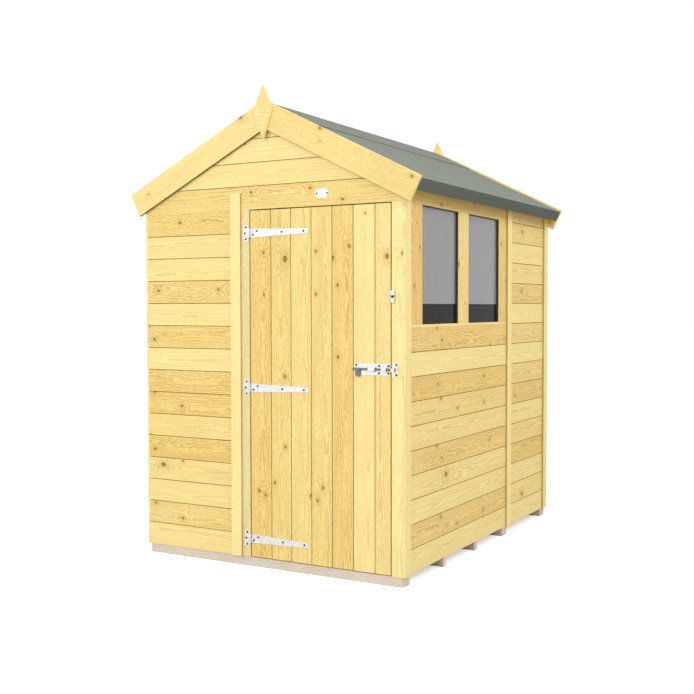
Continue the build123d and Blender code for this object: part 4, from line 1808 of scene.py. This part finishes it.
@dataclass
class Gables:
    """The barge boards and finials on both gables.

    Args:
        finishes: The shed's finishes.
        roof: The roof that the barge boards follow.
        top: Height of a barge board over the underside of the roof boards.
        width: Width of a barge board.
        thickness: Thickness of a barge board.
        length: Length of a barge board from the ridge.
        lead: How far a barge board starts before the ridge, to be trimmed plumb.
        arris: Radius of its long edges.
        ease: Chamfer at its ends.
        boards: The barge boards whose figure shows in the photograph.
    """

    finishes: Finishes
    roof: Roof
    top: float = 0.023
    width: float = 0.122
    thickness: float = 0.016
    length: float = 0.901
    lead: float = 0.08
    arris: float = 0.002
    ease: float = 0.0012
    boards: dict[str, Course] = field(
        default_factory=lambda: {
            "barge_front_left": Course(
                Tone.LIGHT, (Knot(0.221, 0.006, 0.009), Knot(0.88, 0.05, 0.004)), Cut.RIFT
            ),
            "barge_front_right": Course(
                Tone.MIDDLE,
                (Knot(0.415, 0.007), Knot(0.441, 0.059, 0.003), Knot(0.942, 0.021, 0.006)),
                Cut.RIFT,
            ),
        }
    )

    def build(self) -> None:
        """Build the four barge boards and the two finials."""
        seed = 70
        for end, outward in (("front", FRONT), ("rear", BACK)):
            for name, side in (("left", -1), ("right", 1)):
                seed += 1
                self._barge(f"barge_{end}_{name}", side, outward, seed)
            self._finial(f"finial_{end}", outward, seed + 10)

    def _barge(self, node: str, side: int, outward: Vector, seed: int) -> None:
        """Build one barge board, plumb at the peak and square at the eaves.

        Args:
            node: The CAD node that it stands for.
            side: -1 for the left slope and 1 for the right.
            outward: The way its face looks.
            seed: Seed of its small differences.
        """
        timber = Timber(f"{node}_board", seed)
        face = outward.y * (self.roof.half_depth + self.thickness)
        origin = self.roof.spot(side, -self.lead, self.top, face)
        place = Place(origin, self.roof.downhill(side), -self.roof.skyward(side), -outward)
        section = planed(self.width, self.thickness, self.arris)
        length = self.length + self.lead
        course = self.boards.get(node, Course(Tone.MIDDLE))
        timber.board(place, section, length, course, [self.roof.plumb(side)], self.ease)
        board = timber.piece(self.finishes.trim, "shed", "pale_pine", [node])
        board.data.materials.append(self.finishes.shaded)
        below = -self.roof.skyward(side)
        for facet in board.data.polygons:
            facet.material_index = int(facet.normal.dot(below) > 0.9)

    def _finial(self, node: str, outward: Vector, seed: int) -> None:
        """Build one finial from the outline of its CAD solid, with eased edges.

        Args:
            node: The CAD node that it stands for.
            outward: The way its face looks.
            seed: Seed of its small differences.
        """
        low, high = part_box(node)
        face = low.y if outward.y < 0 else high.y
        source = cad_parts[node].data
        outline = {
            (round(corner.co.x, 5), round(corner.co.z, 5))
            for corner in source.vertices
            if abs(corner.co.y - face) < 1e-5
        }
        middle = (low.z + high.z) / 2
        ordered = sorted(outline, key=lambda spot: math.atan2(spot[1] - middle, spot[0]))
        timber = Timber(f"{node}_board", seed)
        mesh = bmesh.new()
        ring = [mesh.verts.new((x, face, z)) for x, z in ordered]
        front = mesh.faces.new(ring)
        swept = bmesh.ops.extrude_face_region(mesh, geom=[front])
        moved = [part for part in swept["geom"] if isinstance(part, bmesh.types.BMVert)]
        bmesh.ops.translate(mesh, verts=moved, vec=-outward * (high.y - low.y))
        rims = [
            edge
            for edge in mesh.edges
            if all(abs(corner.co.y - face) < 1e-6 for corner in edge.verts)
        ]
        bmesh.ops.bevel(mesh, geom=rims, offset=0.0025, segments=2, affect="EDGES")
        origin = Vector((low.x, face, low.z))
        place = Place(origin, RIGHT, UP, -outward)
        timber.take(mesh, place, high.z - low.z, Tone.LIGHT.value, Cut.FLAT, ())
        timber.piece(self.finishes.trim, "shed", "pale_pine", [node])


@dataclass
class Door:
    """The door's boards, ledges and braces.

    Args:
        finishes: The shed's finishes.
        last_board: Width of the board on the bolt side.
        brace_width: Width of a brace where it meets a ledge.
        brace_lead: How far a brace starts before its ledge, to be trimmed level.
        brace_spare: Length that is trimmed off both its ends together.
        boards: The boards from the hinges to the bolt.
    """

    finishes: Finishes
    last_board: float = 0.078
    brace_width: float = 0.070
    brace_lead: float = 0.05
    brace_spare: float = 0.12
    boards: tuple[Course, ...] = (
        Course(
            Tone.WARM,
            (
                Knot(1.461, 0.077, 0.006),
                Knot(1.262, 0.078, 0.006),
                Knot(0.322, 0.046),
                Knot(0.304, 0.083),
            ),
        ),
        Course(
            Tone.MIDDLE,
            (Knot(1.428, 0.08, 0.013), Knot(0.876, 0.077), Knot(0.542, 0.078), Knot(0.368, 0.019)),
        ),
        Course(Tone.LIGHT, (Knot(0.322, 0.106, 0.005),)),
        Course(
            Tone.MIDDLE,
            (
                Knot(1.459, 0.026, 0.006),
                Knot(1.263, 0.026, 0.006),
                Knot(0.366, 0.061),
                Knot(0.304, 0.033),
            ),
        ),
        Course(
            Tone.WARM,
            (
                Knot(1.479, 0.09),
                Knot(1.303, 0.03),
                Knot(0.974, 0.032),
                Knot(1.428, 0.004, 0.009),
            ),
        ),
        Course(Tone.PALE, (Knot(1.623, 0.063, 0.004),)),
        Course(Tone.LIGHT, (Knot(1.428, 0.061, 0.01),)),
    )

    def build(self) -> None:
        """Build the door's three layers."""
        self._boards()
        self._ledges()
        self._braces()

    def _boards(self) -> None:
        """Build the upright boards."""
        low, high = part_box("door_boards")
        joints = [high.x - self.last_board]
        while joints[0] - 1.5 * BOARD_PITCH > low.x:
            joints.insert(0, joints[0] - BOARD_PITCH)
        edges = [low.x, *joints, high.x]
        timber = Timber("door_boards_boards", 80)
        for row, (start, end) in enumerate(zip(edges, edges[1:])):
            section = tongued(end - start, BOARD_THICKNESS, row == 0, row == len(edges) - 2)
            place = Place(Vector((start, low.y, low.z)), UP, RIGHT, BACK)
            timber.board(place, section, high.z - low.z, self.boards[row])
        timber.piece(self.finishes.cladding, "door", "pale_pine", ["door_boards"])

    def _ledges(self) -> None:
        """Build the level bars on the door's back."""
        timber = Timber("door_ledge_bars", 81)
        for low, high in solids("door_ledges"):
            timber.bar(low, high, BACK, Course(Tone.LIGHT, None))
        timber.piece(self.finishes.trim, "door", "pale_pine", ["door_ledges"])

    def _braces(self) -> None:
        """Build the slanted bars between the ledges."""
        timber = Timber("door_brace_bars", 82)
        for low, high in solids("door_braces"):
            rise = high.z - low.z
            run = high.x - low.x - self.brace_width
            along = Vector((run, 0, rise)).normalized()
            across = Vector((along.z, 0, -along.x))
            width = self.brace_width * along.z
            origin = Vector((low.x, high.y, low.z)) - along * self.brace_lead
            length = math.hypot(rise, run) + self.brace_spare
            place = Place(origin, along, across, FRONT)
            cuts = ((low, DOWN), (high, UP))
            section = planed(width, high.y - low.y)
            timber.board(place, section, length, Course(Tone.LIGHT, None), cuts)
        timber.piece(self.finishes.trim, "door", "pale_pine", ["door_braces"])


@dataclass
class Windows:
    """The two panes and the dark seals round them: the panes' foot shows a painted reflection, and
    the seals paint the shade in the reveals.

    Args:
        finishes: The shed's finishes.
        reflection_top: Height where the painted reflection on the panes' foot ends.
        seal_and_shade: Width of the seal at the near side and the head.
        far_seal_and_shade: Width of the seal at the far side, wider to paint the shade of the
            reveal.
        seal_depth: How far the seal lies behind the posts' faces.
    """

    finishes: Finishes
    reflection_top: float = 1.267
    seal_and_shade: float = 0.0035
    far_seal_and_shade: float = 0.008
    seal_depth: float = 0.0008

    def build(self) -> None:
        """Build the panes and their seals."""
        self._panes()
        self._seals_and_shade()

    def _panes(self) -> None:
        """Build each pane, with its foot as faces of their own finish, a dark painted reflection.
        """
        mesh = bmesh.new()
        for low, high in solids("window_panes"):
            plan = ((low.x, low.y), (high.x, low.y), (high.x, high.y), (low.x, high.y))
            levels = (low.z, self.reflection_top, high.z)
            rings = [[mesh.verts.new((x, y, level)) for x, y in plan] for level in levels]
            foot, _ = lofted(mesh, rings)
            # The foot's faces take the painted reflection.
            for side in foot:
                side.material_index = 1
        name = "window_panes_glass"
        data = settled(mesh, name)
        data.materials.append(self.finishes.pane)
        data.materials.append(self.finishes.painted_reflection)
        publish(name, data, self.finishes.pane, "shed", ["window_panes"])

    def _seals_and_shade(self) -> None:
        """Build the dark strips that line the sides and the head of each opening, which also paint
        the shade in the reveals.
        """
        _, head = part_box("window_posts")
        posts = solids("window_posts")
        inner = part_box("window_panes")[1].x
        outer = head.x - self.seal_depth
        strips = Timber("window_seals_and_shade", 90)
        for left, right in zip(posts, posts[1:]):
            start, end = left[1].y, right[0].y
            foot = left[0].z
            for low, high in (
                ((inner, start, foot), (outer, start + self.seal_and_shade, head.z)),
                ((inner, end - self.far_seal_and_shade, foot), (outer, end, head.z)),
                ((inner, start, head.z - self.seal_and_shade), (outer, end, head.z)),
            ):
                strips.bar(Vector(low), Vector(high), RIGHT, Course(Tone.MIDDLE, ()))
        strips.piece(self.finishes.seal_and_shade, "shed", "rough_timber", [])


@dataclass
class Screws:
    """Round-headed screws with a crossed slot, gathered in one piece.

    Args:
        finishes: The shed's finishes.
        radius: Radius of a head.
        height: How far it stands up.
    """

    finishes: Finishes
    radius: float = 0.0053
    height: float = 0.0016

    def head(self, mesh: bmesh.types.BMesh, centre: Vector, outward: Vector) -> None:
        """Add one head.

        Args:
            mesh: The mesh to add to.
            centre: Middle of its seat.
            outward: The way it looks.
        """
        across = UP.cross(outward).normalized()
        rings = []
        for share, level in ((1.0, 0.0), (0.96, 0.45), (0.8, 0.8), (0.62, 0.95)):
            ring = []
            for step in range(12):
                angle = math.radians(30 * step - 15)
                flat = across * math.cos(angle) + UP * math.sin(angle)
                spot = flat * self.radius * share + outward * self.height * level
                ring.append(mesh.verts.new(centre + spot))
            rings.append(ring)
        arm, half = 0.48 * self.radius, 0.13 * self.radius
        cross = [(arm, -half), (arm, half), (half, half)]
        for level in (0.97, 0.35):
            ring = []
            for turn in range(4):
                angle = math.radians(90 * turn)
                for x, y in cross:
                    flat = across * (x * math.cos(angle) - y * math.sin(angle))
                    flat = flat + UP * (x * math.sin(angle) + y * math.cos(angle))
                    ring.append(mesh.verts.new(centre + flat + outward * self.height * level))
            rings.append(ring)
        lofted(mesh, rings)

    def build(self, name: str, spots: Sequence[Vector], body: str) -> None:
        """Build a group of screws that look to the front.

        Args:
            name: Name of the piece.
            spots: Middle of each seat.
            body: The CAD body that carries them.
        """
        mesh = bmesh.new()
        for spot in spots:
            self.head(mesh, spot, FRONT)
        publish(name, settled(mesh, name), self.finishes.black, body)


@dataclass
class Ironmongery:
    """The zinc hinges, pad bolt, turn button and plaque, with their screws.

    Args:
        finishes: The shed's finishes.
        hinge_heights: Height of each hinge.
        plate_centre: Where a hinge plate's upper and lower screws stand across the wall.
        plate_side_screw: Where its middle screw stands.
        plate_screw_rise: How far the upper and lower screws are from the middle.
        strap_start: Where a strap begins across the door.
        strap_screws: Screws of a strap, along it and up.
        leaf_face: Depth of the plates' outer faces.
        bolt_height: Height of the pad bolt.
        bolt_screws: Screws of its base, across the door and up from its middle.
        keep_screws: Screws of its keep.
        plaque_inset: How far the plaque's plate lies inside its CAD box.
        plaque_margin: Distance from its side edges to its screws.
        plaque_notch: Radius of its scooped corners.
        plaque_rim: Rings of its edge, each as how far it is shrunk and how far it is sunk.
        plaque_screw: Radius and height of its screws' heads.
    """

    finishes: Finishes
    hinge_heights: tuple[float, ...] = (0.137, 0.866, 1.606)
    plate_centre: float = -0.1168
    plate_side_screw: float = -0.1218
    plate_screw_rise: float = 0.029
    strap_start: float = -0.0902
    strap_screws: tuple[Point, ...] = (
        (0.013, -0.008),
        (0.037, 0.009),
        (0.178, 0.0),
        (0.298, 0.0),
    )
    leaf_face: float = -0.9585
    bolt_height: float = 0.973
    bolt_screws: tuple[Point, ...] = (
        (0.488, 0.0185),
        (0.488, -0.0185),
        (0.604, 0.0165),
        (0.604, -0.0165),
        (0.651, 0.0165),
        (0.651, -0.0165),
    )
    keep_screws: tuple[Point, ...] = ((0.6905, 0.0225), (0.6905, -0.0225))
    plaque_inset: float = 0.0025
    plaque_margin: float = 0.0065
    plaque_notch: float = 0.009
    plaque_rim: tuple[Point, ...] = (
        (0.0, 0.0006),
        (0.0006, 0.0),
        (0.0022, 0.0),
        (0.003, 0.0005),
    )
    plaque_screw: Point = (0.0048, 0.0005)

    def build(self) -> None:
        """Give the CAD metal its finish and add the screws."""
        for node in ("hinge_plates", "hinge_straps", "bolt_base", "bolt_keep", "turn_button"):
            self._plate(node, self.finishes.zinc)
        # The rod's darker metal is painted shade.
        self._plate("bolt_rod", self.finishes.steel_and_shade)
        self._plate("button_pivot", self.finishes.black)
        plates = (
            (self.plate_centre, self.plate_screw_rise),
            (self.plate_centre, -self.plate_screw_rise),
            (self.plate_side_screw, 0.0),
        )
        straps = tuple((self.strap_start + along, rise) for along, rise in self.strap_screws)
        for name, body, heights, spots in (
            ("hinge_plate_screws", "shed", self.hinge_heights, plates),
            ("hinge_strap_screws", "door", self.hinge_heights, straps),
            ("bolt_base_screws", "door", (self.bolt_height,), self.bolt_screws),
            ("bolt_keep_screws", "shed", (self.bolt_height,), self.keep_screws),
        ):
            seats = [Vector((x, self.leaf_face, z + rise)) for z in heights for x, rise in spots]
            Screws(self.finishes).build(name, seats, body)
        self._plaque()

    def _plaque(self) -> None:
        """Build the blank plaque with scooped corners, a raised rim and two screws."""
        low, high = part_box("plaque")
        inset = self.plaque_inset
        left, right = low.x + inset, high.x - inset
        foot, head = low.z + inset, high.z - inset
        levels = [(0.0, high.y)]
        levels.extend((shrink, low.y + sunk) for shrink, sunk in self.plaque_rim)
        corners = (
            (left, foot, 90),
            (right, foot, 180),
            (right, head, 270),
            (left, head, 0),
        )
        mesh = bmesh.new()
        rings = []
        for shrink, level in levels:
            scoop = self.plaque_notch + shrink
            ring = []
            for x, z, first in corners:
                middle_x = x + (0.3 if x == left else -0.3) * shrink
                middle_z = z + (0.3 if z == foot else -0.3) * shrink
                for step in range(5):
                    angle = math.radians(first - 22.5 * step)
                    across = middle_x + scoop * math.cos(angle)
                    rise = middle_z + scoop * math.sin(angle)
                    across = min(max(across, left + shrink), right - shrink)
                    rise = min(max(rise, foot + shrink), head - shrink)
                    ring.append(mesh.verts.new((across, level, rise)))
            rings.append(ring)
        lofted(mesh, rings)
        data = settled(mesh, "plaque_plate")
        publish("plaque_plate", data, self.finishes.zinc, "shed", ["plaque"])
        margin = self.plaque_margin
        radius, height = self.plaque_screw
        seats = [
            Vector((x, low.y + height, (foot + head) / 2)) for x in (left + margin, right - margin)
        ]
        Screws(self.finishes, radius, height).build("plaque_screws", seats, "shed")

    def _plate(self, node: str, material: bpy.types.Material) -> None:
        """Give one CAD node a finish.

        Args:
            node: The CAD node, which keeps its own mesh.
            material: The finish.
        """
        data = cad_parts[node].data
        data.materials.clear()
        data.materials.append(material)
        log.info("%s: dressed with %s", node, material.name)


@dataclass
class Studio:
    """The floor, the light and the camera.

    Args:
        spot: Where the camera stands.
        yaw: How far it is turned to the left of straight back, in degrees.
        pitch: How far it looks up, in degrees.
        roll: How far it leans, in degrees.
        lens: Its focal length in millimetres.
        sensor: Width of its sensor in millimetres.
        sky: Strength of the surround as a light.
        key: Power of the front lamp.
        key_spot: Where the front lamp hangs.
        key_size: Side of the front lamp.
        fill: Power of the right lamp.
        fill_spot: Where the right lamp hangs.
        fill_size: Side of the right lamp.
        target: Where both lamps are aimed.
        floor_reach: Half of the floor's side.
        floor_bounce: Share of light that the floor throws back at the shed.
        floor_face: Share of light that the floor shows to the camera.
        floor_glow: Its own light in the camera's sight.
    """

    spot: tuple[float, float, float] = (2.775, -5.072, 1.252)
    yaw: float = 29.586
    pitch: float = -2.19
    roll: float = -0.083
    lens: float = 54.04
    sensor: float = 36.0
    sky: float = 0.74
    key: float = 312.0
    key_spot: tuple[float, float, float] = (-1.4, -8.2, 4.2)
    key_size: float = 6.0
    fill: float = 200.0
    fill_spot: tuple[float, float, float] = (5.8, -1.6, 5.5)
    fill_size: float = 3.0
    target: tuple[float, float, float] = (0.0, 0.0, 1.0)
    floor_reach: float = 60.0
    floor_bounce: float = 0.54
    floor_face: float = 0.78
    floor_glow: float = 0.5

    def build(self) -> None:
        """Set up the studio."""
        self._camera()
        self._world()
        self._lamps()
        self._floor()
        bpy.context.scene.view_settings.view_transform = "Standard"

    def _camera(self) -> None:
        """Stand the camera where the photograph was taken from."""
        data = bpy.data.cameras.new("camera")
        data.lens = self.lens
        data.sensor_width = self.sensor
        data.clip_start = 0.05
        data.clip_end = 200.0
        camera = bpy.data.objects.new("camera", data)
        bpy.context.scene.collection.objects.link(camera)
        yaw, pitch, roll = (math.radians(turn) for turn in (self.yaw, self.pitch, self.roll))
        ahead = Vector(
            (
                -math.sin(yaw) * math.cos(pitch),
                math.cos(yaw) * math.cos(pitch),
                math.sin(pitch),
            )
        )
        right = ahead.cross(UP).normalized()
        over = right.cross(ahead)
        leaned = right * math.cos(roll) + over * math.sin(roll)
        upright = over * math.cos(roll) - right * math.sin(roll)
        turned = Matrix((leaned, upright, -ahead)).transposed().to_4x4()
        turned.translation = Vector(self.spot)
        camera.matrix_world = turned
        bpy.context.scene.camera = camera

    def _seen(self, wire: Wiring) -> bpy.types.NodeSocket:
        """Find the rays that see the backdrop itself.

        Args:
            wire: Wiring of the material that needs them.

        Returns:
            The socket of the mask, 1 for such rays.
        """
        rays = wire.node("ShaderNodeLightPath")
        camera, glossy = rays.outputs["Is Camera Ray"], rays.outputs["Is Glossy Ray"]
        seen = wire.math("MAXIMUM", camera, glossy)
        return wire.math("MAXIMUM", seen, rays.outputs["Is Transmission Ray"])

    def _world(self) -> None:
        """Make the soft white surround, which cameras, metal and glass see as white."""
        world = bpy.data.worlds.new("studio surround")
        world.use_nodes = True
        bpy.context.scene.world = world
        wire = Wiring(world.node_tree)
        surround = world.node_tree.nodes["Background"]
        surround.inputs["Color"].default_value = (1.0, 1.0, 1.0, 1.0)
        strength = wire.node("ShaderNodeMapRange")
        wire.feed(strength.inputs[0], self._seen(wire))
        wire.feed(strength.inputs[3], self.sky)
        wire.feed(strength.inputs[4], 1.0)
        wire.feed(surround.inputs["Strength"], strength.outputs[0])

    def _lamps(self) -> None:
        """Hang a large soft lamp to the front left and a weaker one to the right."""
        lamps = (
            ("key lamp", self.key_spot, self.key_size, self.key),
            ("fill lamp", self.fill_spot, self.fill_size, self.fill),
        )
        for name, spot, size, power in lamps:
            data = bpy.data.lights.new(name, "AREA")
            data.shape = "SQUARE"
            data.size = size
            data.energy = power
            lamp = bpy.data.objects.new(name, data)
            bpy.context.scene.collection.objects.link(lamp)
            lamp.location = spot
            aim = Vector(self.target) - Vector(spot)
            lamp.rotation_mode = "QUATERNION"
            lamp.rotation_quaternion = aim.to_track_quat("-Z", "Y")

    def _floor(self) -> None:
        """Lay the pale floor, which fades to white but keeps the shed's shadow."""
        mesh = bpy.data.meshes.new("studio_floor")
        reach = self.floor_reach
        corners = [(-reach, -reach, 0), (reach, -reach, 0), (reach, reach, 0), (-reach, reach, 0)]
        mesh.from_pydata(corners, [], [(0, 1, 2, 3)])
        floor = bpy.data.objects.new("studio_floor", mesh)
        bpy.context.scene.collection.objects.link(floor)
        made, wire, surface = new_material("studio floor")
        seen = self._seen(wire)
        bounce, face = ((*[share] * 3, 1.0) for share in (self.floor_bounce, self.floor_face))
        shade = wire.mix(seen, bounce, face)
        wire.feed(surface.inputs["Base Color"], shade)
        surface.inputs["Roughness"].default_value = 0.9
        surface.inputs["Specular IOR Level"].default_value = 0.0
        surface.inputs["Emission Color"].default_value = (1.0, 1.0, 1.0, 1.0)
        glow = wire.times(seen, self.floor_glow)
        wire.feed(surface.inputs["Emission Strength"], glow)
        mesh.materials.append(made)


def main() -> None:
    """Build the shed's looks in order."""
    logging.basicConfig(level=logging.INFO, format="%(name)s: %(message)s")
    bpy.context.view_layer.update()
    finishes = Finishes()
    Studio().build()
    roof = Roof(finishes)
    for part in (
        Shell(finishes),
        Trim(finishes),
        Floor(finishes),
        Framing(finishes),
        roof,
        Gables(finishes, roof),
        Door(finishes),
        Windows(finishes),
        Ironmongery(finishes),
    ):
        part.build()
    bpy.context.view_layer.update()


if __name__ == "__main__":
    main()
